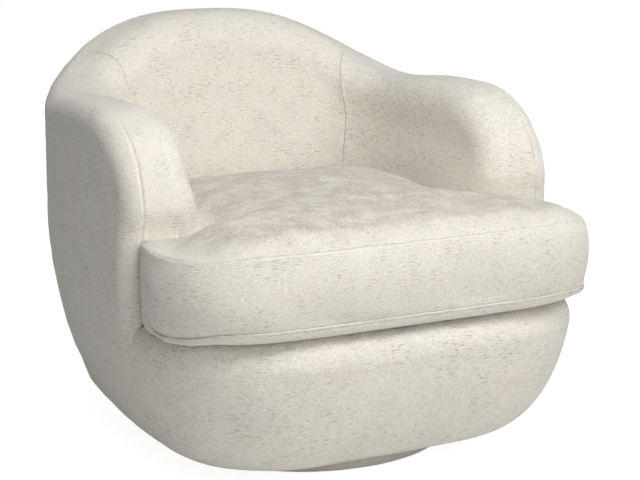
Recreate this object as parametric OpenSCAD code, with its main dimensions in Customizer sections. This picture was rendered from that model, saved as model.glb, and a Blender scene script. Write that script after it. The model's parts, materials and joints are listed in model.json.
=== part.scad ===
// Barrel-backed upholstered swivel chair with a loose T-shaped seat cushion.
// Millimetres, +Z up, the sitter faces -Y, origin on the floor on the swivel axis.

/* [Overall] */
// Width over the outside of the arms
width = 860; // [800:10:920]
// Reach of the body in front of the swivel axis
front_reach = 445; // [425:5:475]
// Reach of the body behind the swivel axis
back_reach = 500; // [475:5:540]
// Height of the crest at the middle of the back
height = 756; // [716:5:801]
// Height of the arms
arm_height = 630; // [610:2:656]

/* [Body shape] */
// Squareness of the front half in plan, where 2 is an ellipse
front_square = 3.9; // [3.2:0.1:4.4]
// Squareness of the back half in plan
back_square = 3; // [2.6:0.1:3.3]
// Height of the underside of the body
belly_low = 40; // [38:1:46]
// Height where the body is widest
belly_high = 386; // [370:2:400]
// How far the underside lies inside the widest outline
foot_inset = 136; // [115:1:150]
// How far the crest of the back lies inside the widest outline
top_inset = 4; // [0:1:20]
// Fullness of the belly's height curve
belly_power_z = 2.1; // [1.9:0.1:2.4]
// Fullness of the belly's width curve
belly_power_x = 2.5; // [2.2:0.1:2.8]

/* [Arms and crest] */
// How far the arm fronts stand in front of the swivel axis
arm_front = 198; // [180:2:215]
// Length of the rounded front end of an arm
arch_len = 184; // [165:1:200]
// Drop of the rounded front end of an arm
arch_drop = 230; // [200:2:240]
// Thickness of an arm's upholstery from outside to inside
arm_thick = 152; // [145:1:170]
// Thickness of the back's upholstery under the crest
back_thick = 146; // [140:1:170]
// How much thicker an arm is at the seat
arm_lean = 21; // [10:1:30]
// How much thicker the back is at the seat
back_lean = 62; // [45:1:75]
// Radius of the crest's outer edge
crest_outer = 27; // [22:1:34]
// Width of the crest's inner roll
crest_inner = 80; // [60:1:90]
// Depth of the crest's inner roll
crest_drop = 75; // [60:1:90]
// Half angle, seen from above, at which the crest has come down to the arms
crest_end = 73; // [66:1:78]
// Roundness of the crest at its middle, where 2 is a parabola
crest_round = 1.75; // [1.6:0.05:2.2]
// Softness of the crest's run into the arms
crest_run = 2.5; // [2:0.1:3]
// Depth of the dip where back and arm meet
waist_dip = 12; // [0:1:14]
// Radius of an arm's front outer edge
arm_outer_round = 31; // [22:1:36]
// Radius of an arm's front inner edge
arm_inner_round = 80; // [60:1:84]

/* [Covers and foam] */
// Thickness of a fabric cover with its wadding
cover_t = 6; // [4:0.5:7]
// Foam over the frame at the crest
crest_foam = 45; // [40:1:52]
// Foam in front of the frame at the arm fronts
front_foam = 50; // [44:1:58]
// Width of the cover's turn-under below the body
wrap_w = 45; // [30:1:60]
// Radius of the roll along the front edge of the seat
roll_r = 52; // [44:1:56]
// Height of the roll along the front edge of the seat
roll_top = 292; // [288:1:294]
// Half angle, seen from above, of the back between the inside seams
seam_angle = 44; // [40:1:48]

/* [Frame] */
// Depth of the frame from its outer to its inner side
frame_depth = 77; // [60:1:80]
// Thickness of the plywood
ply = 18; // [15:1:20]
// Height of the top of the seat rails
rail_top = 252; // [248:1:254]
// Thickness of the seat rails
rail_h = 27; // [22:1:32]
// Thickness of the rail under the crest
crest_rail_h = 22; // [18:1:26]
// Number of formers under the seat
belly_formers = 14; // [10:2:18]
// Place of the rear spring rail behind the swivel axis
spring_rail_y = 300; // [290:5:320]
// Width of the rear spring rail
spring_rail_w = 45; // [35:1:50]

/* [Springing] */
// Number of seat springs
spring_count = 5; // [4:1:5]
// Distance from spring to spring
spring_pitch = 95; // [80:1:100]
// Wire diameter of the seat springs
wire_d = 3.8; // [3.2:0.1:4.4]
// Width of a seat spring
spring_w = 48; // [40:1:56]
// Half waves along a seat spring
spring_waves = 18; // [14:2:24]
// Top of the deck pad under the cushion
deck_top = 296; // [294:1:298]

/* [Cushion] */
// Half width of the cushion at its ears
ear_w = 398; // [385:1:405]
// Reach of the cushion in front of the swivel axis
cushion_reach = 450; // [440:1:470]
// Squareness of the cushion's front in plan
cushion_square = 5.4; // [4:0.1:7]
// Height of the lower seam above the cushion's underside
welt_up = 21; // [16:1:26]
// Height of the cushion's sides
cushion_side = 147; // [130:1:155]
// Rise of the cushion's top edge over its sides
cushion_edge = 13; // [8:1:18]
// Crown of the cushion's top
cushion_crown = 17; // [10:1:26]
// Swell of the cushion's front
cushion_swell = 12; // [6:1:16]
// Swell of the cushion's front corners
corner_swell = 31; // [18:1:36]
// Thickness of the cushion's fabric
fabric_t = 3; // [2:0.5:4]
// Diameter of the welt along the lower seam
welt_d = 5; // [4:0.5:6]
// Room between the cushion and the arms
side_gap = 3; // [2:0.5:5]
// Room between the cushion and the back
back_gap = 10; // [9:1:14]

/* [Zip] */
// Radius of the zip's curve
zip_r = 1150; // [1000:10:1300]
// Half angle that the zip's tape covers
zip_half = 5.5; // [4:0.5:7]
// Height of the zip above the cushion's underside
zip_up = 62; // [50:1:70]
// Width of the zip's tape
tape_w = 26; // [20:1:30]

/* [Base] */
// Radius of the covered plinth
plinth_r = 276; // [255:1:285]
// Height of the top of the plinth
plinth_top = 32; // [30:1:34]
// Thickness of the felt under the plinth
felt_t = 2; // [1.5:0.5:3]
// Thickness of the plinth's cover
plinth_cover_t = 4; // [3:0.5:5]
// Width of the plinth's cover turned under, outside the felt
felt_in = 14; // [8:1:30]
// Side of the square swivel plates
plate_w = 260; // [240:5:280]
// Thickness of the swivel plates
plate_t = 2.5; // [2:0.5:3]
// Radius of the ball race
race_r = 100; // [85:1:105]
// Width of a race ring
race_w = 16; // [14:1:20]
// Height of a race ring
race_h = 3.1; // [2.8:0.1:3.4]
// Diameter of the bearing balls
ball_d = 8; // [7.5:0.1:8.2]
// Number of bearing balls
ball_count = 24; // [16:1:30]
// Offset of the plate bolts from the axis, in both directions
bolt_xy = 108; // [100:1:112]
// Diameter of the centre bolt
pivot_d = 10; // [8:1:12]

/* [Hidden] */
fit = 0.3;
running = 0.15;
half_w = width/2;
frame_out = cover_t + 3;
frame_in = frame_out + frame_depth;
web_t = 1.4;
pad_in = frame_in + web_t + 4*fit;
rail_low = rail_top - rail_h;
swivel_top = belly_low + cover_t + fit;
board_top = swivel_top + ply;
drum_r = plinth_r - plinth_cover_t - fit;
cushion_low = deck_top + fit;
welt_z = cushion_low + welt_up;
pad_low = rail_top + wire_d + 3;
tie_d = 2.5;
deck_low = rail_top + wire_d + tie_d + 4*fit;
race_mid = (plinth_top + swivel_top)/2;

function clamp01(v) = min(1, max(0, v));
function spow(v, e) = sign(v)*pow(abs(v), e);
function smooth(v) = v*v*(3 - 2*v);
function reverse(list) = [for (i = [len(list) - 1:-1:0]) list[i]];
function mix(a, b, w) = a*(1 - w) + b*w;

// Share of the half height left below the widest outline, and the inset there
function belly_share(z) = clamp01((belly_high - z)/(belly_high - belly_low));
function belly_inset(z) = foot_inset*(1 - pow(1 - pow(belly_share(z), belly_power_z), 1/belly_power_x));
function inset(z) = belly_inset(z) + top_inset*pow(max(0, (z - belly_high)/(height - belly_high)), 2);

// Angle of a station on the right-hand side, from its distance along Y
function angle_at(y) = y < 0 ? -asin(pow(-y/front_reach, front_square/2))
  : asin(pow(y/back_reach, back_square/2));

// Height of the crest before the arm's rounded end is taken off
function crest_rise(t) = pow(1 - pow(clamp01(abs(t - 90)/crest_end), crest_round), crest_run);
waist_y = 255;
waist_w = 101;
function crest_z(t, y) = arm_height + (height - arm_height)*crest_rise(t)
  - waist_dip*exp(-pow((y - waist_y)/waist_w, 2));
function quarter(u, r) = 1 - sqrt(1 - pow(1 - clamp01(u/r), 2));

// A station: plan direction, reach, inward normal, crest height, edge insets, thickness, lean
square_back = 250;
square_front = 40;
thick_end = 69;
function station(t) =
  let(s = sin(t), c = cos(t),
    n = s < 0 ? front_square : back_square,
    reach = s < 0 ? front_reach : back_reach,
    cx = spow(c, 2/n), sy = spow(s, 2/n),
    gx = spow(cx, n - 1)/half_w, gy = spow(sy, n - 1)/reach, g = norm([gx, gy]),
    y = reach*sy, u = y + arm_front,
    w = smooth(clamp01(1 - abs(u)/(u < 0 ? square_front : square_back))),
    nx = mix(-gx/g, -sign(c), w), ny = mix(-gy/g, 0, w), m = norm([nx, ny]),
    back = smooth(1 - clamp01(abs(t - 90)/thick_end)))
  [cx, sy, reach, nx/m, ny/m,
    crest_z(t, y) - arch_drop*quarter(u, arch_len),
    arm_outer_round*quarter(u, arm_outer_round),
    arm_inner_round*quarter(u, arm_inner_round),
    mix(arm_thick, back_thick, back),
    mix(arm_lean, back_lean, back)];
function crest_of(st) = st[5];

// The point of a station that lies ins inside the widest outline and d further inward
function at(st, ins, d, z) = [(half_w - ins)*st[0] + d*st[3], (st[2] - ins)*st[1] + d*st[4], z];
function on_skin(st, d, z) = at(st, 0, d + inset(z), z);
function flat2(p) = [p[0], p[1]];

// Stations of the right arm from its front, of the back, and of the front border
function arch_y(phi) = arch_len*(1 - cos(phi)) - arm_front;
foam_y = front_foam - arm_front;
panel_y = foam_y + 4;
foam_phi = acos(1 - front_foam/arch_len);
arch_steps = 4;
block_ts = [for (k = [0:3]) angle_at(arch_y(foam_phi*k/3))];
arch_ts = [for (k = [1:arch_steps]) angle_at(arch_y(foam_phi + (90 - foam_phi)*k/arch_steps))];
seam_t = 90 - seam_angle;
arm_steps = 6;
arch_end_y = arch_len - arm_front;
seam_y = back_reach*spow(sin(seam_t), 2/back_square);
side_ts = [for (k = [1:arm_steps]) angle_at(mix(arch_end_y, seam_y, k/arm_steps))];
frame_start = 0.5;
hollow_ts = concat([angle_at(foam_y + frame_start)], arch_ts, side_ts);
arm_ts = concat(block_ts, arch_ts, side_ts);
back_steps = 5;
seam_slit = 0.02;
back_ts = [for (k = [0:back_steps]) mix(seam_t + seam_slit, 90, k/back_steps)];
function inner_ts(ts) = [for (k = [1:len(ts) - 1]) ts[k]];
wall_ts = concat(arm_ts, inner_ts(back_ts));
frame_ts = concat(hollow_ts, inner_ts(back_ts));
front_steps = 11;
border_gap = 0.6;
front_ts = [for (k = [0:front_steps]) mix(270, 360 + angle_at(-arm_front - border_gap), k/front_steps)];

// What is on the right-hand side, and its mirror image
module twin() {
  children();
  mirror([1, 0, 0]) children();
}

// Solid between two lines in each ring: a ring is the outer line, then the inner line reversed.
// An end is closed along a path of pairs, each a point of the outer and one of the inner line.
function even_path(n) = [for (k = [0:n - 1]) [k, k]];
function end_faces(path, m, o) = [for (k = [0:len(path) - 2])
  let(p = path[k], q = path[k + 1], a = o + p[0], b = o + q[0], c = o + m - 1 - q[1], d = o + m - 1 - p[1])
  each concat(q[0] > p[0] ? [[a, b, q[1] > p[1] ? c : d]] : [], q[1] > p[1] ? [[a, c, d]] : [])];
module loft(rings, path = [], other = false) {
  m = len(rings[0]);
  k = len(rings);
  way = len(path) > 0 ? path : even_path(m/2);
  sides = [for (i = [0:k - 2]) for (j = [0:m - 1])
    let(a = i*m + j, b = i*m + (j + 1)%m)
    each other ? [[a, b, a + m], [b, b + m, a + m]] : [[a, b, b + m], [a, b + m, a + m]]];
  start = [for (f = end_faces(way, m, 0)) reverse(f)];
  polyhedron([for (r = rings) each r], concat(sides, start, end_faces(way, m, (k - 1)*m)), convexity = 6);
}

// Closed solid of rings stacked from a first to a last centre point
module stack(first, rings, final, turned = 0) {
  m = len(rings[0]);
  k = len(rings);
  top = (k - 1)*m;
  c0 = k*m;
  faces = [for (i = [0:k - 2]) for (j = [0:m - 1])
    let(a = i*m + j, b = i*m + (j + 1)%m)
    each i < turned ? [[a, a + m, b], [b, a + m, b + m]] : [[a, a + m, b + m], [a, b + m, b]]];
  low = [for (j = [0:m - 1]) [j, (j + 1)%m, c0]];
  high = [for (j = [0:m - 1]) [top + (j + 1)%m, top + j, c0 + 1]];
  polyhedron(concat([for (r = rings) each r], [first, final]), concat(faces, low, high), convexity = 6);
}

// Flat board between two outlines of stations
module board(stations, ins, d0, d1, z0, z1) {
  outer = [for (st = stations) flat2(at(st, ins, d0, 0))];
  inner = [for (st = stations) flat2(at(st, ins, d1, 0))];
  translate([0, 0, z0]) linear_extrude(z1 - z0) polygon(concat(outer, reverse(inner)));
}

// Line of the belly as [inset, z, inward share, upward share], up to height z_end
belly_steps = 8;
function belly_line(z_end, steps = belly_steps) =
  let(phi_end = acos(pow(belly_share(z_end), belly_power_z/2)))
  [for (k = [0:steps])
    let(phi = phi_end*k/steps,
      z = belly_high - (belly_high - belly_low)*pow(cos(phi), 2/belly_power_z),
      ins = foot_inset*(1 - pow(sin(phi), 2/belly_power_x)))
    [ins, z, sin(phi), cos(phi)]];
function belly_points(st, z_end, t) =
  [for (p = belly_line(z_end)) at(st, p[0], t*p[2], p[1] + t*p[3])];
function wrap_point(st, t) = at(st, foot_inset, wrap_w, belly_low + t);

// Outside of back and arms, from the turn-under to the crest seam
wall_steps = 4;
function edge_in(st, k) = st[6]*smooth(k/wall_steps);
function wall_level(st, k) = mix(roll_top, crest_of(st) - crest_outer, k/wall_steps);
function wall_points(st, t) = [for (k = [1:wall_steps])
  on_skin(st, edge_in(st, k) + t, wall_level(st, k) - (k == wall_steps ? fit : 0))];
function outer_side(st, t) = concat([wrap_point(st, t)], belly_points(st, roll_top, t), wall_points(st, t));
function outer_ring(st) = concat(outer_side(st, 0), reverse(outer_side(st, cover_t)));
module outer_cover() {
  color("ivory") twin() loft([for (t = wall_ts) outer_ring(station(t))]);
}

// Front of the belly, rolled over the front rail to the deck
roll_steps = 5;
roll_z = roll_top - roll_r;
function roll_points(st, t) = concat(
  [for (k = [1:roll_steps]) let(phi = 90*k/roll_steps, z = roll_z + roll_r*sin(phi))
    at(st, 0, inset(z) + roll_r - (roll_r - t)*cos(phi), roll_z + (roll_r - t)*sin(phi))],
  [on_skin(st, frame_in, roll_top - t)]);
function border_side(st, t) = concat([wrap_point(st, t)], belly_points(st, roll_z, t), roll_points(st, t));
function border_ring(st) = concat(border_side(st, 0), reverse(border_side(st, cover_t)));
module front_border() {
  color("ivory") twin() loft([for (t = front_ts) border_ring(station(t))]);
}

// Foam on the front rail under the border, raised behind the roll over the spring clips
foam_phi0 = 24;
foam_flat = 60;
clip_top = rail_top + wire_d + 5;
function edge_ring(st) =
  let(r = roll_r - cover_t - 1, top = roll_z + r,
    arc = [for (k = [0:4]) let(phi = mix(foam_phi0, 90, k/4), z = roll_z + roll_r*sin(phi))
      at(st, 0, inset(z) + roll_r - r*cos(phi), roll_z + r*sin(phi))],
    ledge = [for (d = [foam_flat + 2, frame_in]) at(st, 0, inset(roll_top) + d, top)],
    low = [for (k = [0:3]) [arc[k][0], arc[k][1], rail_top + fit]],
    step = [at(st, 0, inset(roll_top) + foam_flat, rail_top + fit)],
    high = [for (p = ledge) [p[0], p[1], clip_top]])
  concat(arc, ledge, reverse(concat(low, step, high)));
module front_edge_foam() {
  color("wheat") twin() loft([for (k = [0:front_steps - 1]) edge_ring(station(front_ts[k]))]);
}

// Inside upholstery: crest edge, crest, inner roll and inside face
inner_steps = 3;
function roll_scale(st) = st[8] - st[7] - st[6];
function pad_outer(st) =
  let(h = crest_of(st), w = roll_scale(st),
    ro = min(crest_outer, 0.4*w), ri = min(crest_inner, 0.9*(w - ro)), drop = crest_drop*ri/crest_inner,
    inner = st[8] - st[7])
  concat([on_skin(st, st[6], h - crest_outer)],
    [for (phi = [30, 60, 90]) let(z = h - ro + ro*sin(phi)) on_skin(st, st[6] + ro*(1 - cos(phi)), z)],
    [for (phi = [0, 30, 60, 90])
      let(z = h - drop + drop*cos(phi)) on_skin(st, inner - ri + ri*sin(phi), z)],
    [for (k = [1:inner_steps]) let(z = mix(h - drop, pad_low, k/inner_steps))
      on_skin(st, inner + st[9]*k/inner_steps, z)]);
function pad_hollow(st) =
  let(z1 = crest_of(st) - crest_foam, d0 = st[6] + cover_t + 1)
  concat([on_skin(st, d0, crest_of(st) - crest_outer)],
    [for (k = [0:3]) on_skin(st, mix(d0, pad_in, k/3), z1)],
    [for (k = [1:6]) on_skin(st, pad_in, mix(z1, pad_low, k/6))]);
function pad_block(st) =
  concat([for (k = [wall_steps:-1:0]) on_skin(st, edge_in(st, k) + cover_t + 1, wall_level(st, k))],
    [for (k = [1:6]) on_skin(st, cover_t + 1, mix(roll_top, pad_low, k/6))]);
function pad_ring(st) = concat(pad_outer(st), reverse(pad_hollow(st)));
function block_ring(st) = concat(pad_outer(st), reverse(pad_block(st)));
pad_path = concat([[0, 0], [1, 0], [2, 0], [3, 0], [3, 1], [3, 2], [4, 3], [4, 4]],
  [for (k = [5:10]) [k, k]]);
module arm_pad() {
  loft(concat([for (t = block_ts) block_ring(station(t))], [for (t = hollow_ts) pad_ring(station(t))]),
    pad_path, true);
}
module right_arm_pad() {
  color("ivory") arm_pad();
}
module left_arm_pad() {
  color("ivory") mirror([1, 0, 0]) arm_pad();
}
module back_pad() {
  color("ivory") twin() loft([for (t = back_ts) pad_ring(station(t))], pad_path, true);
}

// Frame under the seat
board_ts = [for (t = [0:5:355]) t];
module base_board() {
  outline = [for (t = board_ts) flat2(at(station(t), foot_inset + 2, 0, 0))];
  color("burlywood") difference() {
    translate([0, 0, swivel_top]) linear_extrude(ply) polygon(outline);
    translate([0, 0, swivel_top - 1]) cylinder(r = pivot_d/2 + 0.5, h = ply + 2, $fn = 48);
    for (x = [-1, 1], y = [-1, 1]) translate([x*bolt_xy, y*bolt_xy, swivel_top - 1])
      cylinder(r = tee_r + running, h = ply + 2, $fn = 48);
  }
}
module dust_cover() {
  outline = [for (t = board_ts) flat2(at(station(t), foot_inset + 2, wrap_w, 0))];
  color("dimgray") translate([0, 0, swivel_top - 1.3]) linear_extrude(1) difference() {
    polygon(outline);
    circle(r = plate_w*0.5*sqrt(2) + 4, $fn = 96);
  }
}

// Plywood former under the seat, standing on the base board
former_heights = [board_top, board_top + 12, board_top + 32, board_top + 65, board_top + 105, rail_low];
former_foot = 95;
module belly_former(t) {
  st = station(t);
  lean = -(st[0]*st[3] + st[1]*st[4]);
  foot = [at(st, 0, 0, 0)[0], at(st, 0, 0, 0)[1]];
  edge = [for (z = former_heights) [lean*inset(z - 6) + frame_out + 3, z]];
  tail = edge[0][0] + former_foot;
  hollow = [for (k = [0:5]) let(phi = 90*k/5)
    [mix(tail, frame_in, sin(phi)), mix(board_top + ply, rail_low, 1 - cos(phi))]];
  translate([foot[0], foot[1], 0]) rotate([0, 0, atan2(st[4], st[3])]) rotate([90, 0, 0])
    translate([0, 0, -ply/2]) linear_extrude(ply)
      polygon(concat(edge, reverse(hollow), [[tail, board_top]]));
}
former_step = 180/(belly_formers/2);
function polar_t(a) =
  let(reach = a < 0 ? front_reach : back_reach, n = a < 0 ? front_square : back_square)
  atan(spow(tan(a)*half_w/reach, n/2));
module belly_ribs() {
  color("burlywood") for (k = [0:belly_formers/2 - 1])
    twin() belly_former(polar_t(former_step*(k + 0.5) - 90));
}

// Seat rails, butted end to end
rail_ins = inset(rail_low);
grid = 5;
front_corner_t = 330;
back_corner_t = 40;
rail_out = 18;
function span(a, b) = [for (t = [a:grid:b]) station(t)];
module front_rail() {
  color("burlywood") board(span(540 - front_corner_t, front_corner_t), rail_ins, rail_out, frame_in,
    rail_low, rail_top);
}
module back_rail() {
  color("burlywood") board(span(back_corner_t, 180 - back_corner_t), rail_ins, frame_out, frame_in,
    rail_low, rail_top);
}
module side_rail() {
  board(span(front_corner_t - 360, back_corner_t), rail_ins, rail_out, frame_in, rail_low, rail_top);
}
module right_rail() {
  color("burlywood") side_rail();
}
module left_rail() {
  color("burlywood") mirror([1, 0, 0]) side_rail();
}
module inside_rails(room) {
  polygon([for (t = board_ts) flat2(at(station(t), rail_ins, frame_in + room, 0))]);
}
module rear_spring_rail() {
  color("burlywood") translate([0, 0, rail_low]) linear_extrude(rail_h) intersection() {
    inside_rails(fit);
    translate([-half_w, spring_rail_y]) square([width, spring_rail_w]);
  }
}
block_t = 317;
block_w = 120;
block_leg = 70;
module corner_blocks() {
  corner = flat2(at(station(block_t), rail_ins, frame_in, 0));
  color("burlywood") translate([0, 0, rail_low]) linear_extrude(rail_h) twin() intersection() {
    translate(corner) rotate(-45) square([block_w, block_leg], center = true);
    inside_rails(fit);
  }
}

// Plates of the arm fronts
module arm_panel() {
  st = station(angle_at(panel_y));
  top = crest_of(st) - crest_foam - 2;
  heights = [for (k = [0:3]) mix(rail_top, top, k/3)];
  outer = [for (z = heights) [on_skin(st, frame_out, z)[0], z]];
  inner = [for (z = heights) [on_skin(st, frame_in, z)[0], z]];
  translate([0, panel_y + ply, 0]) rotate([90, 0, 0]) linear_extrude(ply)
    polygon(concat(outer, reverse(inner)));
}
module right_arm_panel() {
  color("burlywood") arm_panel();
}
module left_arm_panel() {
  color("burlywood") mirror([1, 0, 0]) arm_panel();
}

// Laminated rail under the crest
crest_start = panel_y + ply + 4;
crest_ts = concat([angle_at(crest_start)], [for (t = frame_ts) if (t > angle_at(crest_start + 6)) t]);
function crest_ring(st) =
  let(z1 = crest_of(st) - crest_foam - 1, ds = [for (k = [0:3]) mix(frame_out, frame_in, k/3)])
  concat([for (d = ds) on_skin(st, d, z1)], reverse([for (d = ds) on_skin(st, d, z1 - crest_rail_h)]));
module crest_rail() {
  color("burlywood") twin() loft([for (t = crest_ts) crest_ring(station(t))]);
}

// Upright plates of back and arms, from the seat rails to the crest rail
rib_ts = [side_ts[0], side_ts[2], side_ts[4], back_ts[1], back_ts[3]];
rib_reach = 2.6;
module wall_rib(t) {
  st = station(t);
  slope = abs(crest_of(station(t + rib_reach)) - crest_of(station(t - rib_reach)))/2;
  top = crest_of(st) - crest_foam - crest_rail_h - 3 - slope;
  foot = at(st, 0, 0, 0);
  heights = [for (k = [0:4]) mix(rail_top, top, k/4)];
  translate([foot[0], foot[1], 0]) rotate([0, 0, atan2(st[4], st[3])]) rotate([90, 0, 0])
    translate([0, 0, -ply/2]) linear_extrude(ply)
      polygon(concat([for (z = heights) [inset(z) + frame_out + 1, z]],
        reverse([for (z = heights) [inset(z) + frame_in - 2, z]])));
}
module wall_ribs() {
  color("burlywood") {
    for (t = rib_ts) twin() wall_rib(t);
    wall_rib(90);
  }
}

// Bands of webbing round the inside of the frame
web_w = 50;
web_heights = [300, 370, 440];
function web_ring(st, z) =
  [on_skin(st, frame_in + fit, z), on_skin(st, frame_in + fit, z + web_w),
    on_skin(st, frame_in + fit + web_t, z + web_w), on_skin(st, frame_in + fit + web_t, z)];
module back_webbing() {
  color("darkkhaki") for (z = web_heights)
    twin() loft([for (t = frame_ts) if (t > arch_ts[0]) web_ring(station(t), z)]);
}

// Zigzag springs across the seat
spring_hold = 12;
spring_y0 = -front_reach + rail_ins + frame_in - spring_hold;
spring_y1 = spring_rail_y + spring_hold;
spring_z = rail_top + wire_d/2 + fit;
rings_per_wave = 4;
spring_rings = spring_waves*rings_per_wave;
function spring_point(x, k) =
  let(phase = 180*k/rings_per_wave, a = (spring_w - wire_d)/2, pull = 5)
  [x + a*sin(phase), mix(spring_y0, spring_y1, k/spring_rings) + pull*sin(2*phase), spring_z];
function wire_ring(p, q, r) =
  let(d = (q - p)/norm(q - p), side = [-d[1], d[0], 0])
  [for (k = [0:5]) (p + q)/2 + r*(side*cos(60*k) + [0, 0, 1]*sin(60*k))];
module seat_spring(x) {
  p = [for (k = [0:spring_rings]) spring_point(x, k)];
  rings = [for (k = [0:spring_rings - 1]) wire_ring(p[k], p[k + 1], wire_d/2)];
  stack((p[0] + p[1])/2, rings, (p[spring_rings - 1] + p[spring_rings])/2);
}
function spring_x(k) = (k - (spring_count - 1)/2)*spring_pitch;
module seat_springs() {
  color("silver") for (k = [0:spring_count - 1]) seat_spring(spring_x(k));
}
clip_w = 22;
clip_l = 16;
clip_t = 1.2;
module spring_clip() {
  color("gray") translate([0, -clip_t - wire_d/2 - fit, rail_top]) difference() {
    translate([-clip_w/2, 0, 0]) cube([clip_w, clip_l, wire_d + 3*fit + clip_t]);
    translate([-clip_w, clip_t, -1]) cube([2*clip_w, clip_l, 1 + wire_d + 3*fit]);
  }
}
module spring_clips() {
  for (k = [0:spring_count - 1]) {
    translate([spring_x(k), spring_y0, 0]) spring_clip();
    translate([spring_x(k), spring_y1, 0]) mirror([0, 1, 0]) spring_clip();
  }
}

// Outline inside the upholstery on the right, with room to the arms and the back
room_end = 50;
function inside_point(t, side_room, back_room) =
  let(st = station(t), w = smooth(1 - clamp01(abs(t - 90)/room_end)),
    d = st[8] - st[7] + st[9] + mix(side_room, back_room, w))
  flat2(at(st, 0, d + inset(pad_low), 0));
tie_ys = [-180, 0, 160];
tie_room = 8;
module tie_wires() {
  color("tan") for (y = tie_ys) {
    half = inside_point(angle_at(y), tie_room, tie_room)[0];
    translate([-half, y, spring_z + wire_d/2 + fit + tie_d/2]) rotate([0, 90, 0])
      cylinder(r = tie_d/2, h = 2*half, $fn = 24);
  }
}
deck_room = 1;
module deck_pad() {
  rear = [for (t = wall_ts) inside_point(t, deck_room, deck_room)];
  front = [for (k = [0:front_steps - 1]) flat2(at(station(front_ts[k]), rail_ins, frame_in + 2, 0))];
  half = concat(front, rear);
  other_half = [for (k = [len(half) - 2:-1:1]) [-half[k][0], half[k][1]]];
  color("linen") translate([0, 0, deck_low]) linear_extrude(deck_top - deck_low)
    polygon(concat(half, other_half));
}

// Loose cushion: outline counter-clockwise from the front centre. A point is its place, its share
// of the swell, and how far it leans outward at the top.
ear_gap = 3;
ear_back = -arm_front - ear_gap;
ear_round = 12;
cushion_mid = [0, -arm_front - 17];
front_len = cushion_reach - cushion_swell;
corner_share = corner_swell/cushion_swell;
function front_point(x) = [x, -front_len*pow(1 - pow(abs(x)/ear_w, cushion_square), 1/cushion_square),
  mix(1, corner_share, pow(abs(x)/ear_w, 5)), 0, 0];
front_xs = [90, 180, 255, 310, 348, 374, 388];
ear_end = [[ear_w - 3, -270, 1.2, 0, 0], [ear_w - 6, ear_back - 2*ear_round, 0.1, 0, 0],
  [ear_w - 9, ear_back - ear_round/2, 0, 0, 0], [ear_w - 12 - ear_round/2, ear_back, 0, 0, 0]];
rest_ts = concat(block_ts, [arch_ts[0], arch_ts[2], side_ts[0], side_ts[2], side_ts[4], 54, 66]);
zip_back = inside_point(90, side_gap, back_gap)[1];
zip_y = zip_back - zip_r;
zip_reach = zip_r*sin(zip_half);
side_top = cushion_low + cushion_side;
function lean_of(st) = st[9]*clamp01((side_top - pad_low)/(crest_of(st) - crest_drop - pad_low));
back_lean_top = lean_of(station(90));
rear_half = concat(
  [for (t = rest_ts) let(st = station(t), p = inside_point(t, side_gap, back_gap), v = lean_of(st))
    [p[0], p[1], 0, -v*st[3], -v*st[4]]],
  [for (k = [0:2]) let(x = zip_reach*(1 - k/3))
    [x, zip_y + sqrt(zip_r*zip_r - x*x), 0, 0, back_lean_top]]);
function flip(list) = [for (p = reverse(list)) [-p[0], p[1], p[2], -p[3], p[4]]];
half_line = concat([for (x = front_xs) front_point(x)], ear_end, rear_half);
cushion_line = concat([front_point(0)], half_line, [[0, zip_back, 0, 0, back_lean_top]],
  flip(half_line));
function leaned(w) = [for (p = cushion_line) [p[0] + w*p[3], p[1] + w*p[4], p[2]]];
function pulled(line, d) = [for (p = line) let(v = flat2(p) - cushion_mid)
  concat(cushion_mid + v*(1 - d/norm(v)), [p[2]])];
function scaled(line, f) = [for (p = line) let(v = flat2(p) - cushion_mid)
  concat(cushion_mid + v*f, [p[2]])];
function swelled(line, d) = [for (p = line) let(v = flat2(p) - cushion_mid)
  concat(cushion_mid + v*(1 + d*p[2]/norm(v)), [p[2]])];
function level(line, z) = [for (p = line) [p[0], p[1], z]];
crown_x = 478;
crown_y = 437;
crown_mid = -83;
edge_run = 16;
function crown_at(p) = cushion_crown*clamp01(1 - pow(min(1, abs(p[0])/crown_x), 2.2))
  *clamp01(1 - pow(min(1, abs(p[1] - crown_mid)/crown_y), 2.4));
function top_z(p, d) = side_top + cushion_edge*(1 - exp(-d/edge_run)) + crown_at(p)*(1 - exp(-d/50));
function top_ring(d, t) = [for (p = pulled(leaned(1), d)) [p[0], p[1], top_z(p, d) - t]];
function dome_ring(f, t) = [for (p = scaled(pulled(leaned(1), 60), f)) [p[0], p[1], top_z(p, 200) - t]];
side_levels = [0, 0.2, 0.5, 0.8, 1];
function side_ring(k, t) =
  level(pulled(swelled(leaned(max(0, 2*k - 1)), cushion_swell*pow(sin(180*k), 0.8)), t),
    mix(welt_z + fit, side_top, k) - t*k);
function side_rings(t) = [for (k = side_levels) side_ring(k, t)];
function top_rings(t) = concat([for (d = [9, 24, 60]) top_ring(d, t)],
  [for (f = [0.8, 0.5, 0.2]) dome_ring(f, t)]);
function crown_point(t) = [cushion_mid[0], cushion_mid[1], top_z(cushion_mid, 200) - t];
module cushion_cover() {
  inside = concat(reverse(top_rings(fabric_t)), reverse(side_rings(fabric_t)));
  color("antiquewhite") stack(crown_point(fabric_t), concat(inside, side_rings(0), top_rings(0)),
    crown_point(0), turned = len(inside) - 1);
}
base_round = 14;
module cushion_base_panel() {
  first = [cushion_mid[0], cushion_mid[1], cushion_low];
  final = [cushion_mid[0], cushion_mid[1], cushion_low + fabric_t];
  rim = welt_z - fit;
  color("antiquewhite") stack(first, [
      level(pulled(cushion_line, base_round), cushion_low),
      level(pulled(cushion_line, 4), cushion_low + 5),
      level(cushion_line, rim),
      level(pulled(cushion_line, fabric_t), rim),
      level(pulled(cushion_line, fabric_t + 4), cushion_low + 6 + fit),
      level(pulled(cushion_line, base_round + 1), cushion_low + fabric_t)], final);
}
core_room = fabric_t + fit;
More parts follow.
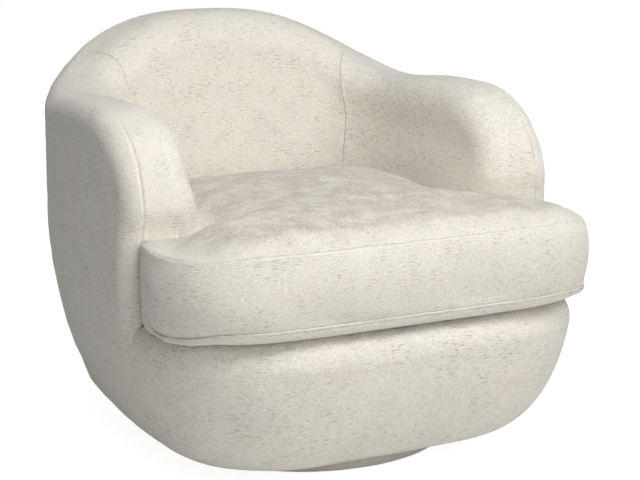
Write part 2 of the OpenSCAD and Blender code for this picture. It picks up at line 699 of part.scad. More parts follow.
module cushion_core() {
  first = [cushion_mid[0], cushion_mid[1], cushion_low + core_room];
  color("khaki") stack(first, concat([
      level(pulled(cushion_line, base_round + 2), cushion_low + core_room),
      level(pulled(cushion_line, core_room + 5), cushion_low + 7 + 2*fit),
      level(pulled(cushion_line, core_room + 1), welt_z),
      level(pulled(cushion_line, core_room + 1), mix(welt_z, side_top, 0.5)),
      level(pulled(leaned(0.55), core_room + 1), mix(welt_z, side_top, 0.8)),
      level(pulled(leaned(0.9), core_room + 1), side_top - core_room - 2)],
    top_rings(core_room)), crown_point(core_room));
}
welt_half = [for (p = half_line) if (p[2] > 0.3) p];
welt_line = concat(flip(welt_half), [front_point(0)], welt_half);
function welt_ring(k) =
  let(p = flat2(welt_line[k]), v = p - cushion_mid, r = welt_d/2, c = p + v/norm(v)*(r + 3*fit))
  [for (j = [0:5]) concat(c + v/norm(v)*r*cos(60*j + 30), [welt_z - r*sin(60*j + 30)])];
module cushion_welt() {
  n = len(welt_line);
  rings = [for (k = [0:n - 1]) welt_ring(k)];
  color("antiquewhite") stack(centre(rings[0]), rings, centre(rings[n - 1]));
}
function centre(ring) = (ring[0] + ring[3])/2;

// Zip along the back of the cushion, and its slider at the closed end
zip_z = cushion_low + zip_up;
tape_t = 1.2;
teeth_t = 1.6;
module arc_band(r, t, z, w, a) {
  translate([0, zip_y, z]) rotate([0, 0, 90 - a]) rotate_extrude(angle = 2*a, $fn = 180)
    translate([r, -w/2]) square([t, w]);
}
module zip_tape() {
  color("beige") union() {
    arc_band(zip_r + fit, tape_t, zip_z, tape_w, zip_half);
    arc_band(zip_r + fit + tape_t, teeth_t, zip_z, 5, zip_half);
  }
}
slider_w = 9;
slider_l = 11;
zip_rest = zip_half - 1;
module zip_slider() {
  r = zip_r + tape_t + 2*fit;
  color("silver") translate([0, zip_y, zip_z]) rotate([0, 0, -zip_rest]) union() {
    difference() {
      translate([-slider_l/2, r, -slider_w/2]) cube([slider_l, 4, slider_w]);
      translate([-slider_l, r - 1, -3]) cube([2*slider_l, 1 + teeth_t + fit, 6]);
    }
    translate([-2, r + 4, -slider_w/2 - 14]) cube([4, 1, 18]);
  }
}

// Plinth that stays on the floor
module plinth_drum() {
  color("burlywood") difference() {
    translate([0, 0, felt_t]) cylinder(r = drum_r, h = plinth_top - felt_t, $fn = 120);
    translate([0, 0, -1]) cylinder(r = pivot_d/2 + running, h = plinth_top + 2, $fn = 48);
    translate([0, 0, -1]) cylinder(r = 16, h = 12, $fn = 48);
    for (x = [-1, 1], y = [-1, 1]) translate([x*screw_xy, y*screw_xy, plinth_top - 20])
      cylinder(r = screw_r + 0.05, h = 30, $fn = 24);
  }
}
module plinth_cover() {
  color("ivory") difference() {
    translate([0, 0, felt_t]) cylinder(r = plinth_r, h = plinth_top - felt_t, $fn = 120);
    translate([0, 0, -1]) cylinder(r = plinth_r - plinth_cover_t, h = plinth_top + 2, $fn = 120);
  }
}
module floor_felt() {
  color("dimgray") cylinder(r = plinth_r - felt_in, h = felt_t, $fn = 120);
}

// Swivel: two plates with races, caged balls, screws, bolts and the centre bolt
screw_xy = 96;
screw_r = 2;
tee_r = 4;
module square_plate(z) {
  translate([-plate_w/2, -plate_w/2, z]) cube([plate_w, plate_w, plate_t]);
}
module race(z) {
  translate([0, 0, z]) difference() {
    cylinder(r = race_r + race_w/2, h = race_h, $fn = 96);
    translate([0, 0, -1]) cylinder(r = race_r - race_w/2, h = race_h + 2, $fn = 96);
  }
}
module groove() {
  translate([0, 0, race_mid]) rotate_extrude($fn = 96)
    translate([race_r, 0]) circle(r = ball_d/2 + running, $fn = 48);
}
module swivel_lower_plate() {
  color("slategray") difference() {
    union() {
      square_plate(plinth_top);
      race(plinth_top + plate_t);
    }
    groove();
    translate([0, 0, plinth_top - 1]) cylinder(r = pivot_d/2 + running, h = plate_t + 2, $fn = 48);
    for (x = [-1, 1], y = [-1, 1]) translate([x*screw_xy, y*screw_xy, plinth_top - 1])
      cylinder(r = screw_r + 0.4, h = plate_t + 2, $fn = 24);
  }
}
module lower_plate_screws() {
  color("silver") for (x = [-1, 1], y = [-1, 1]) translate([x*screw_xy, y*screw_xy, 0]) union() {
    translate([0, 0, plinth_top - 16]) cylinder(r = screw_r, h = 16 + plate_t, $fn = 24);
    translate([0, 0, plinth_top + plate_t]) cylinder(r = 4.2, h = 2, $fn = 24);
  }
}
module bearing_balls() {
  color("silver") for (k = [0:ball_count - 1]) rotate([0, 0, 360*k/ball_count])
    translate([race_r, 0, race_mid]) sphere(r = ball_d/2, $fn = 32);
}
cage_t = 1.2;
module ball_cage() {
  color("goldenrod") difference() {
    translate([0, 0, race_mid - cage_t/2]) cylinder(r = race_r + race_w/2 - 1, h = cage_t, $fn = 96);
    translate([0, 0, race_mid - 2]) cylinder(r = race_r - race_w/2 + 1, h = 4, $fn = 96);
    for (k = [0:ball_count - 1]) rotate([0, 0, 360*k/ball_count]) translate([race_r, 0, race_mid - 2])
      cylinder(r = ball_d/2 + running, h = 4, $fn = 32);
  }
}
module swivel_upper_plate() {
  color("slategray") difference() {
    union() {
      square_plate(swivel_top - plate_t);
      race(swivel_top - plate_t - race_h);
    }
    groove();
    translate([0, 0, swivel_top - plate_t - 1]) cylinder(r = pivot_d/2 + 0.5, h = plate_t + 2, $fn = 48);
    for (x = [-1, 1], y = [-1, 1]) translate([x*bolt_xy, y*bolt_xy, swivel_top - plate_t - 1])
      cylinder(r = bolt_r + 0.3, h = plate_t + 2, $fn = 24);
  }
}
bolt_r = 2.9;
module upper_plate_bolts() {
  color("silver") for (x = [-1, 1], y = [-1, 1]) translate([x*bolt_xy, y*bolt_xy, 0]) union() {
    translate([0, 0, swivel_top - plate_t - 2.4]) cylinder(r = 5.5, h = 2.4, $fn = 32);
    translate([0, 0, swivel_top - plate_t]) cylinder(r = bolt_r, h = ply + plate_t, $fn = 24);
  }
}
module tee_nuts() {
  color("silver") for (x = [-1, 1], y = [-1, 1]) translate([x*bolt_xy, y*bolt_xy, 0]) difference() {
    union() {
      translate([0, 0, board_top]) cylinder(r = 9, h = 1.5, $fn = 32);
      translate([0, 0, swivel_top + 6]) cylinder(r = tee_r, h = ply - 5, $fn = 32);
    }
    translate([0, 0, swivel_top]) cylinder(r = bolt_r + 0.05, h = ply + 3, $fn = 24);
  }
}
washer_t = 2;
nut_h = 9;
module pivot_bolt() {
  color("silver") union() {
    translate([0, 0, felt_t + 2]) cylinder(r = 13, h = 9 - felt_t, $fn = 48);
    translate([0, 0, 10]) cylinder(r = pivot_d/2, h = board_top + washer_t + nut_h - 6, $fn = 48);
  }
}
module pivot_washer() {
  color("white") translate([0, 0, board_top + fit]) difference() {
    cylinder(r = 15, h = washer_t, $fn = 48);
    translate([0, 0, -1]) cylinder(r = pivot_d/2 + 0.1, h = washer_t + 2, $fn = 48);
  }
}
module pivot_nut() {
  color("silver") translate([0, 0, board_top + fit + washer_t]) difference() {
    cylinder(r = 9.5, h = nut_h, $fn = 6);
    translate([0, 0, -1]) cylinder(r = pivot_d/2 + 0.05, h = nut_h + 2, $fn = 48);
  }
}

plinth_drum();
plinth_cover();
floor_felt();
swivel_lower_plate();
lower_plate_screws();
bearing_balls();
ball_cage();
swivel_upper_plate();
upper_plate_bolts();
tee_nuts();
pivot_bolt();
pivot_washer();
pivot_nut();
base_board();
dust_cover();
belly_ribs();
front_rail();
back_rail();
left_rail();
right_rail();
rear_spring_rail();
corner_blocks();
seat_springs();
spring_clips();
tie_wires();
deck_pad();
left_arm_panel();
right_arm_panel();
wall_ribs();
crest_rail();
back_webbing();
outer_cover();
front_border();
front_edge_foam();
left_arm_pad();
right_arm_pad();
back_pad();
cushion_cover();
cushion_base_panel();
cushion_core();
cushion_welt();
zip_tape();
zip_slider();
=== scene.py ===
import json
import math

import bmesh
import bpy
import numpy as np
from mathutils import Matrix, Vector
from mathutils.kdtree import KDTree


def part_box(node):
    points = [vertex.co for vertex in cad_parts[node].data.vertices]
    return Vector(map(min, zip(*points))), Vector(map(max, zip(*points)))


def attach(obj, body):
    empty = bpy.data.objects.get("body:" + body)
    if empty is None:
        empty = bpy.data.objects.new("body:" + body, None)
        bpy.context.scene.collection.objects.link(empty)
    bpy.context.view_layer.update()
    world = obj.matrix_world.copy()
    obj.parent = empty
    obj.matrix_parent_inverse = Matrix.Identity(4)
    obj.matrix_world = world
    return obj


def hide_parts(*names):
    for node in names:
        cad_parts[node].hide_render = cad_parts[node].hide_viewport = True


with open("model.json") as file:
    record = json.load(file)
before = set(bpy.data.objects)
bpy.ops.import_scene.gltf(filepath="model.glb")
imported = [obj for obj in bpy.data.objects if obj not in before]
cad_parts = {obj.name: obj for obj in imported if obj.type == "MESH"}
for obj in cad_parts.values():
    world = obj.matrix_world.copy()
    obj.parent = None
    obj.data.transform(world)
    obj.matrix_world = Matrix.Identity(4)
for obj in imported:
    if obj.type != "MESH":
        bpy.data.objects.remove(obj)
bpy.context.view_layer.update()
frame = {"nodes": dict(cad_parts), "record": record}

# Sizes are in metres and angles in degrees, with the origin on the floor under the swivel's axis.

# Outline of the body in plan, a superellipse with one power in front and one behind.
# FRONT_TURN is how far ahead of the arm's front and behind it the way inward turns straight aside.
HALF_W = 0.430
FRONT_REACH = 0.445
BACK_REACH = 0.500
FRONT_SQUARE = 3.9
BACK_SQUARE = 3.0
FRONT_TURN = (0.040, 0.250)

# Belly, and the slight taper above it
HEIGHT = 0.756
BELLY_LOW = 0.040
BELLY_HIGH = 0.386
FOOT_INSET = 0.136
TOP_INSET = 0.004
BELLY_POWER_Z = 2.1
BELLY_POWER_X = 2.5
BELLY_SLIM = 0.0105
WRAP_W = 0.045

# Arms, with the arch that drops in front
ARM_FRONT = 0.198
ARM_HEIGHT = 0.6347
ARCH_LEN = 0.202
ARCH_DROP = 0.205
ARCH_POWER = 2.33
ARM_THICK = 0.135
ARM_LEAN = 0.021
ARM_BULGE = 0.009
ARM_NARROWER = 0.006
ARM_LOW_SWELL = 0.017

# Back and its crest, with the waist between crest and arm. The ends are angles from the back's middle.
BACK_THICK = 0.146
BACK_LEAN = 0.062
BACK_END = 69
CREST_END = 73
CREST_ROUND = 1.75
CREST_RUN = 2.5
CREST_DROP = 0.075
WAIST_DIP = 0.012
WAIST_Y = 0.255
WAIST_W = 0.101

# Roundings of the wall's edge, outside and inside
OUTER_ROUND = 0.032
ARM_TOP_ROUND = 0.0357
CREST_OUTER = 0.027
ARM_INNER_ROUND = 0.0504
INNER_ROUND = 0.080

# Roll over the front rail, lower edge of the pads, and angle of the inside seams
ROLL_R = 0.052
ROLL_TOP = 0.292
ROLL_Z = ROLL_TOP - ROLL_R
FRAME_IN = 0.086
PAD_LOW = 0.2588
SEAM_T = 46

# Loose cushion: heights, outline, zip, then the falls and swells of its surface
CUSHION_LOW = 0.2963
SEAM_LOW = 0.3173
SEAM_HIGH = 0.4433
EAR_W = 0.409
EAR_POWER = 5.4
EAR_BACK = -0.262
FRONT_LEN = 0.438
SIDE_GAP = 0.003
BACK_GAP = 0.010
ZIP_R = 1.150
ZIP_HALF = 5.5
CUSHION_MID = np.array([0.0, -0.215])
CORNER_SHARE = 2.25
CUSHION_LEAN = 0.019
CUSHION_BACK_LEAN = 0.030
BACK_FALL = 0.03
SIDE_FALL = 0.0115
EAR_DROOP = 0.015
CORNER_OUT = 0.0205
CORNER_FADE = 1.6
SWELL = 0.0107
EDGE_RISE = 0.0065
EDGE_BEND = 0.016
CROWN_RISE = 0.017

# Layers that keep the weave of one piece apart from the next one's
BORDER_LAYER = 0.7
ARM_LAYERS = {1: 1.3, -1: 2.1}
BACK_LAYER = 6.1
BOXING_LAYER = 8.0
CUSHION_LAYER = 9.0
WELT_LAYER = 10.0
PLINTH_LAYER = 11.0


def clamp01(v):
    return np.clip(v, 0, 1)


def smooth(v):
    v = clamp01(v)
    return v*v*(3 - 2*v)


def ramp(v, start, length):
    """Rises softly from 0 at start to 1 a length further on."""
    return smooth((v - start)/length)


def mix(a, b, w):
    return a*(1 - w) + b*w


def spow(v, e):
    return np.sign(v)*np.abs(v)**e


def quarter(u, r):
    """Share of a quarter round of radius r that is left at a distance u from its start."""
    return 1 - np.sqrt(1 - (1 - clamp01(u/r))**2)


def shoulder(u):
    """Share of the arch's drop at a distance u from the arm's front."""
    return 1 - (1 - (1 - clamp01(u/ARCH_LEN))**ARCH_POWER)**(1/ARCH_POWER)


def belly_inset(z):
    share = clamp01((BELLY_HIGH - z)/(BELLY_HIGH - BELLY_LOW))
    return FOOT_INSET*(1 - (1 - share**BELLY_POWER_Z)**(1/BELLY_POWER_X))


def inset(z):
    return belly_inset(z) + TOP_INSET*np.maximum(0, (z - BELLY_HIGH)/(HEIGHT - BELLY_HIGH))**2


def angle_at(y):
    """Angle of the station of the right-hand side that lies at y."""
    y = np.asarray(y, float)
    front = -np.degrees(np.arcsin(clamp01(-y/FRONT_REACH)**(FRONT_SQUARE/2)))
    back = np.degrees(np.arcsin(clamp01(y/BACK_REACH)**(BACK_SQUARE/2)))
    return np.where(y < 0, front, back)


class Stations:
    """Vertical sections round the plan, at angles t. Their values are columns, ready to meet heights.

    u is the distance behind the arm's front, back goes from 0 at the arms to 1 in the back's middle,
    and nx and ny are the way inward, which points straight aside near the arm's front.
    """

    def __init__(self, t):
        t = np.asarray(t, float)
        t = t if t.ndim == 2 else t[:, None]
        s, c = np.sin(np.radians(t)), np.cos(np.radians(t))
        n = np.where(s < 0, FRONT_SQUARE, BACK_SQUARE)
        self.t = t
        self.reach = np.where(s < 0, FRONT_REACH, BACK_REACH)
        self.cx, self.sy = spow(c, 2/n), spow(s, 2/n)
        self.y = self.reach*self.sy
        self.u = self.y + ARM_FRONT
        gx, gy = spow(self.cx, n - 1)/HALF_W, spow(self.sy, n - 1)/self.reach
        g = np.hypot(gx, gy)
        w = smooth(1 - np.abs(self.u)/np.where(self.u < 0, *FRONT_TURN))
        nx, ny = mix(-gx/g, -np.sign(c), w), mix(-gy/g, 0, w)
        m = np.hypot(nx, ny)
        self.nx, self.ny = nx/m, ny/m
        off_middle = np.abs(t - 90)
        rise = (1 - clamp01(off_middle/CREST_END)**CREST_ROUND)**CREST_RUN
        waist = WAIST_DIP*np.exp(-((self.y - WAIST_Y)/WAIST_W)**2)
        self.crest = ARM_HEIGHT + (HEIGHT - ARM_HEIGHT)*rise - waist - ARCH_DROP*shoulder(self.u)
        self.back = smooth(1 - clamp01(off_middle/BACK_END))
        self.thick = mix(ARM_THICK, BACK_THICK, self.back)
        self.lean = mix(ARM_LEAN, BACK_LEAN, self.back)

    def place(self, ins, d, z):
        """Points ins inside the widest outline and d further inward, at height z: a row for each station."""
        x = (HALF_W - ins)*self.cx + d*self.nx
        y = (self.reach - ins)*self.sy + d*self.ny
        return np.stack([x, y, np.broadcast_to(z, x.shape)], -1)

    def line(self, d, ins=0):
        """One point for each station, on the floor."""
        return self.place(ins, d, 0)[:, 0]


def arc_length(points):
    """Distance along the last but one axis."""
    step = np.linalg.norm(np.diff(points, axis=-2), axis=-1)
    zero = np.zeros(step.shape[:-1] + (1,))
    return np.concatenate([zero, np.cumsum(step, -1)], -1)


NEAR = np.array([0, 0.0007, 0.0014, 0.0022, 0.0031, 0.0042, 0.0056, 0.0075, 0.010, 0.0135])


def marks(length, count, start, end):
    """Distances along a line, even, and close together near a seam at its start or end."""
    a = NEAR if start else NEAR[:1]
    b = NEAR if end else NEAR[:1]
    middle = np.linspace(a[-1], length - b[-1], count)[1:-1]
    return np.concatenate([a, middle, length - b[::-1]])


def seam_fall(distance, depth=0.0022, puff=0.0006):
    """How far a panel dips at its seam and swells beside it."""
    return -depth*np.exp(-(distance/0.0016)**2) + puff*np.exp(-((distance - 0.006)/0.004)**2)


def ripple(points, seed, short, long, count=28):
    """Smooth noise of about unit size, made of waves between two lengths."""
    rng = np.random.default_rng(seed)
    way = rng.normal(size=(count, 3))
    way /= np.linalg.norm(way, axis=1)[:, None]
    rate = 2*np.pi/rng.uniform(short, long, count)
    phase = rng.uniform(0, 2*np.pi, count)
    return np.sin(points @ (way*rate[:, None]).T + phase).sum(-1)*math.sqrt(2/count)


def unit(vectors):
    """The same directions with length 1."""
    return vectors/np.maximum(np.linalg.norm(vectors, axis=-1), 1e-12)[..., None]


def normals(grid, closed=False):
    """Unit normals of a grid of points, pointing along station direction x profile direction."""
    if closed:
        ext = np.concatenate([grid[-1:], grid, grid[:1]], 0)
        du = (ext[2:] - ext[:-2])
    else:
        du = np.gradient(grid, axis=0)
    return unit(np.cross(du, np.gradient(grid, axis=1)))


def grid_faces(rows, cols, closed=False, start=0):
    """Quads of a grid of rows x cols vertices."""
    i = np.arange(rows if closed else rows - 1)
    j = np.arange(cols - 1)
    a = (i[:, None]*cols + j)
    b = (((i + 1) % rows)[:, None]*cols + j)
    return (np.stack([a, b, b + 1, a + 1], -1) + start).reshape(-1, 4).tolist()


def closed_faces(grid, first=False, last=False):
    """Quads of a closed grid of points, with a face across its first column, its last one, or both."""
    rows, cols = grid.shape[:2]
    faces = grid_faces(rows, cols, closed=True)
    if first:
        faces.append(list(range((rows - 1)*cols, -1, -cols)))
    if last:
        faces.append(list(range(cols - 1, rows*cols, cols)))
    return faces


def make(name, verts, faces, material, cloth=None, extra=None):
    """A smooth mesh with fabric coordinates kept as attributes."""
    mesh = bpy.data.meshes.new(name)
    mesh.from_pydata(np.asarray(verts, float).reshape(-1, 3).tolist(), [], faces)
    mesh.validate()
    mesh.shade_smooth()
    for key, value in {"cloth": cloth, **(extra or {})}.items():
        if value is None:
            continue
        value = np.asarray(value, np.float32)
        flat = value.reshape(len(mesh.vertices), -1).shape[1] == 1
        kind, slot = ("FLOAT", "value") if flat else ("FLOAT_VECTOR", "vector")
        mesh.attributes.new(key, kind, "POINT").data.foreach_set(slot, value.ravel())
    obj = bpy.data.objects.new(name, mesh)
    bpy.context.scene.collection.objects.link(obj)
    mesh.materials.append(material)
    return obj


# Materials

def linear(rgb):
    """An sRGB colour, 0 to 255, as linear values."""
    c = np.array(rgb)/255
    return tuple(np.where(c <= 0.04045, c/12.92, ((c + 0.055)/1.055)**2.4)) + (1.0,)


class Nodes:
    """A node tree, built by short calls that return sockets."""

    def __init__(self, tree):
        self.tree = tree

    def put(self, value, socket):
        """Links a socket, or sets a value."""
        if isinstance(value, bpy.types.NodeSocket):
            self.tree.links.new(value, socket)
        else:
            socket.default_value = value

    def add(self, kind, out=0, set_to=None, **inputs):
        """A node's output. Inputs go by name, or by number as _0, _1 and so on."""
        node = self.tree.nodes.new(kind)
        for key, value in (set_to or {}).items():
            setattr(node, key, value)
        for key, value in inputs.items():
            self.put(value, node.inputs[int(key[1:])] if key[0] == "_" else node.inputs[key])
        return node.outputs[out]

    def show(self, kind, surface):
        """Ends the tree in an output node of this kind."""
        self.put(surface, self.tree.nodes.new(kind).inputs["Surface"])

    def math(self, operation, a, b):
        return self.add("ShaderNodeMath", set_to={"operation": operation}, _0=a, _1=b)

    def times(self, a, b):
        return self.math("MULTIPLY", a, b)

    def plus(self, a, b):
        return self.math("ADD", a, b)


class Paint(Nodes):
    """A material around one Principled shader."""

    def __init__(self, name, **settings):
        self.material = bpy.data.materials.new(name)
        self.material.use_nodes = True
        super().__init__(self.material.node_tree)
        self.shader = self.tree.nodes["Principled BSDF"]
        for key, value in settings.items():
            self.shader.inputs[key.replace("_", " ")].default_value = value

    def where(self):
        """Object coordinates."""
        return self.add("ShaderNodeTexCoord", out="Object")

    def attribute(self, name, out="Vector"):
        return self.add("ShaderNodeAttribute", out, {"attribute_name": name})

    def scaled(self, vector, x, y, z=1.0):
        return self.add("ShaderNodeVectorMath", set_to={"operation": "MULTIPLY"}, _0=vector, _1=(x, y, z))

    def noise(self, vector, scale, detail=2.0, roughness=0.5, distortion=0.0):
        return self.add("ShaderNodeTexNoise", Vector=vector, Scale=scale, Detail=detail,
                        Roughness=roughness, Distortion=distortion)

    def wave(self, axis, scale, distortion):
        """Bands across an axis of the object."""
        return self.add("ShaderNodeTexWave", 1, {"bands_direction": axis}, Vector=self.where(), Scale=scale,
                        Distortion=distortion, Detail=1.0)

    def band(self, value, low, high, a=0.0, b=1.0):
        """From a to b, softly, while value goes from low to high."""
        return self.add("ShaderNodeMapRange", set_to={"interpolation_type": "SMOOTHSTEP"},
                        _0=value, _1=low, _2=high, _3=a, _4=b)

    def blend(self, factor, a, b):
        """Two colours mixed; either may be a tuple of sRGB values."""
        a, b = [linear(c) if isinstance(c, tuple) else c for c in (a, b)]
        return self.add("ShaderNodeMix", 2, {"data_type": "RGBA"}, _0=factor, _6=a, _7=b)

    def color(self, factor, a, b):
        self.put(self.blend(factor, a, b), self.shader.inputs["Base Color"])

    def rough(self, value, low, high):
        self.put(self.band(value, 0.3, 0.7, low, high), self.shader.inputs["Roughness"])

    def bump(self, height, distance, strength):
        normal = self.add("ShaderNodeBump", Height=height, Distance=distance, Strength=strength)
        self.put(normal, self.shader.inputs["Normal"])


CREAM = (229, 225, 214)
CREAM_WARM = (228, 222, 208)
CREAM_COOL = (221, 218, 208)
SLUB_DARK = (160, 154, 141)
FLECK_LIGHT = (248, 246, 240)
# Brown of the seat's crushed pile, partly the pile's own colour and partly painted shade over the seat top
CRUSH_SHADE_BROWN = (178, 168, 152)
WEAVE_DEPTH = 0.0011


def weave_ground(paint, vector, crush_and_shade):
    """Quiet colour of the cloth. Where the crush strength is above 0, it adds patches of crushed pile away
    from the cushion's edge, with their brown darkened as painted shade.
    """
    ground = paint.blend(paint.band(paint.noise(vector, 9, 4, 0.65), 0.35, 0.65), CREAM_COOL, CREAM_WARM)
    ground = paint.blend(paint.band(paint.noise(vector, 24, 3, 0.6), 0.35, 0.65, 0.1, 0.8), ground, CREAM)
    if crush_and_shade:
        # Patches of crushed pile, partly real and partly painted shade: darker brown over the seat top
        crush_shade_patches = paint.noise(paint.scaled(vector, 1, 1.15), 19, 6, 0.76, 0.15)
        inward = paint.band(paint.attribute("inward", "Fac"), 0.004, 0.085)
        crush_shade_share = paint.times(paint.band(crush_shade_patches, 0.36, 0.62, 0.2*crush_and_shade, crush_and_shade), inward)
        ground = paint.blend(crush_shade_share, ground, CRUSH_SHADE_BROWN)
    return ground


def chenille(name, crush_and_shade=0.0):
    """Chenille: quiet ground, rows of fine slubs, flecks and threads; with a crush strength, also the seat's
    crushed pile in a brown that is partly painted shade.
    """
    paint = Paint(name, Roughness=0.92, Specular_IOR_Level=0.25, Sheen_Weight=0.35, Sheen_Roughness=0.45)
    vector = paint.attribute("cloth")
    cluster = paint.band(paint.noise(vector, 22, 3, 0.6), 0.38, 0.62, 0.25, 1.0)
    slub = paint.noise(paint.scaled(vector, 75, 400), 1, 3, 0.55)
    mark = paint.times(paint.band(slub, 0.54, 0.66), cluster)
    fleck = paint.band(paint.noise(paint.scaled(vector, 190, 400), 1, 2, 0.6), 0.50, 0.66)
    weft = paint.noise(paint.scaled(vector, 130, 760), 1, 1, 0.4)
    warp = paint.noise(paint.scaled(vector, 760, 150), 1, 1, 0.4)
    gap = paint.band(warp, 0.26, 0.46, 1, 0)
    color = paint.blend(paint.times(fleck, 0.65), weave_ground(paint, vector, crush_and_shade), FLECK_LIGHT)
    color = paint.blend(paint.times(gap, 0.28), color, SLUB_DARK)
    paint.color(paint.times(mark, 0.52), color, SLUB_DARK)
    height = paint.plus(paint.times(weft, 0.55), paint.times(warp, 0.4))
    height = paint.plus(height, paint.times(fleck, 0.35))
    paint.bump(paint.math("SUBTRACT", height, paint.times(mark, 0.45)), WEAVE_DEPTH, 0.8)
    return paint.material


def plywood(name):
    paint = Paint(name, Specular_IOR_Level=0.3)
    grain = paint.noise(paint.scaled(paint.where(), 9, 70, 70), 1, 4, 0.6, 0.6)
    plies = paint.band(paint.wave("Z", 52.0, 0.6), 0.62, 0.8)
    face = paint.blend(paint.band(grain, 0.3, 0.7), (206, 172, 122), (226, 197, 150))
    paint.color(paint.times(plies, 0.45), face, (150, 112, 70))
    paint.rough(grain, 0.5, 0.72)
    paint.bump(grain, 0.0006, 0.5)
    return paint.material


def metal(name, color, dark, rough):
    paint = Paint(name, Metallic=1.0)
    brush = paint.noise(paint.scaled(paint.where(), 40, 900, 40), 1, 2, 0.5)
    paint.color(paint.band(paint.noise(paint.where(), 60, 4, 0.6), 0.35, 0.7), color, dark)
    paint.rough(brush, rough - 0.08, rough + 0.12)
    paint.bump(brush, 0.0002, 0.3)
    return paint.material


def plastic(name, color, dark, rough):
    paint = Paint(name, Specular_IOR_Level=0.45)
    haze = paint.noise(paint.where(), 45, 3, 0.6)
    paint.color(paint.band(haze, 0.35, 0.65), color, dark)
    paint.rough(haze, rough - 0.06, rough + 0.1)
    paint.bump(paint.noise(paint.where(), 1600, 1, 0.5), 0.0002, 0.35)
    return paint.material


def threads(name, color, dark, pitch):
    """Plain woven cloth in object space: warp and weft of one pitch."""
    paint = Paint(name, Roughness=0.85, Sheen_Weight=0.25, Specular_IOR_Level=0.25)
    rate = 0.16/pitch
    cross = paint.times(paint.wave("X", rate, 0.8), paint.wave("Y", rate, 0.8))
    base = paint.blend(paint.band(paint.noise(paint.where(), 30, 3, 0.6), 0.3, 0.7, 0, 0.5), color, dark)
    paint.color(paint.band(cross, 0.15, 0.6, 0.7, 0), base, dark)
    paint.bump(cross, pitch*0.4, 0.7)
    return paint.material


def soft(name, color, dark, patch_scale, height, depth, fuzz):
    """Foam or felt: two near colours in patches, with a fine relief."""
    paint = Paint(name, Roughness=0.95, Specular_IOR_Level=0.1, Sheen_Weight=fuzz)
    paint.color(paint.band(paint.noise(paint.where(), patch_scale, 3, 0.6), 0.3, 0.7), color, dark)
    paint.bump(height(paint), depth, 0.6)
    return paint.material


def foam_cells(paint):
    return paint.add("ShaderNodeTexVoronoi", Vector=paint.where(), Scale=520.0)


def felt_fibres(paint):
    return paint.noise(paint.where(), 900, 3, 0.7, 0.8)


CLOTH = chenille("chenille")
# The seat top's chenille: crushed pile patches whose darker brown is partly painted shade
CLOTH_SEAT = chenille("chenille_seat", crush_and_shade=0.8)
DECKING = threads("deck_cloth", (216, 209, 194), (176, 168, 150), 0.0009)
CAMBRIC = threads("cambric", (38, 38, 39), (22, 22, 23), 0.0008)
ZIP_CLOTH = threads("zip_tape", (222, 214, 196), (186, 176, 156), 0.0006)
FELT = soft("floor_felt", (88, 88, 90), (66, 66, 68), 60, felt_fibres, 0.0006, 0.3)
FOAM = soft("foam", (228, 214, 160), (214, 198, 142), 18, foam_cells, 0.0012, 0.0)


# Fine stations of the right-hand wall, from the arm's front to the middle of the back

ARM_T = float(angle_at(-ARM_FRONT))
ARCH_T = angle_at(ARCH_LEN*(1 - np.cos(np.radians(np.linspace(0, 90, 260))))**1.25 - ARM_FRONT)
WALL_T = np.concatenate([ARCH_T, np.linspace(ARCH_T[-1], 90, 500)[1:]])
WALL = Stations(WALL_T)
PLAN = arc_length(WALL.line(0))
INSIDE = arc_length(WALL.line(WALL.thick + WALL.lean))
MIDDLE = PLAN[-1]
SEAM_P = float(np.interp(SEAM_T, WALL_T, PLAN))


def stations_at(p):
    """Stations at distances from the arm's front."""
    return Stations(np.interp(p, PLAN, WALL_T))


def wall_edge():
    """Edge of the wall in its unrolled side view: distance from the arm's front, and height.

    It runs up the arm's front, over the shoulder and along the crest, past the middle.
    """
    beyond = slice(-2, -60, -1)
    return np.concatenate([np.column_stack([np.zeros(8), np.linspace(0.15, WALL.crest[0], 9)[:-1]]),
                           np.column_stack([PLAN, WALL.crest]),
                           np.column_stack([2*MIDDLE - PLAN[beyond], WALL.crest[beyond]])])


def edge_ways(step):
    """Way towards the outside at each point of the edge."""
    way = unit(np.column_stack([-step[:, 1], step[:, 0]]))
    return np.concatenate([way[:1], (way[1:] + way[:-1])/2, way[-1:]])


EDGE = wall_edge()
EDGE_STEP = np.diff(EDGE, axis=0)
EDGE_WAY = edge_ways(EDGE_STEP)


def to_edge(p, z, batch=2000):
    """Distance of points of the side view from its edge, and the way towards the edge."""
    p, z = np.broadcast_arrays(p, z)
    points = np.column_stack([p.ravel(), z.ravel()])
    far, way = np.zeros(len(points)), np.zeros((len(points), 2))
    square = (EDGE_STEP**2).sum(1)
    for first in range(0, len(points), batch):
        part = slice(first, first + batch)
        rel = points[part, None] - EDGE[None, :-1]
        w = clamp01((rel*EDGE_STEP).sum(-1)/square)
        size = ((rel - w[..., None]*EDGE_STEP)**2).sum(-1)
        k = size.argmin(1)
        i = np.arange(len(k))
        far[part] = np.sqrt(size[i, k])
        way[part] = mix(EDGE_WAY[k], EDGE_WAY[k + 1], w[i, k][:, None])
    return far.reshape(p.shape), unit(way).reshape(p.shape + (2,))


def rolled(far, r):
    """For a rounding of radius r along the edge: sine of its turn, way along it, and cloth it adds."""
    turn = 1 - clamp01(far/r)
    return turn, r*np.arccos(turn) + np.maximum(0, far - r), r*np.arcsin(turn) - r*turn


def turned_normals(st, side, turn, way):
    """Normals of a rounded wall: side is 1 for its outside and -1 for its inside."""
    flat = side*np.sqrt(1 - turn**2)
    lift = way[..., 0]*turn
    return np.stack([st.ny*lift - st.nx*flat, -st.ny*flat - st.nx*lift, way[..., 1]*turn], -1)


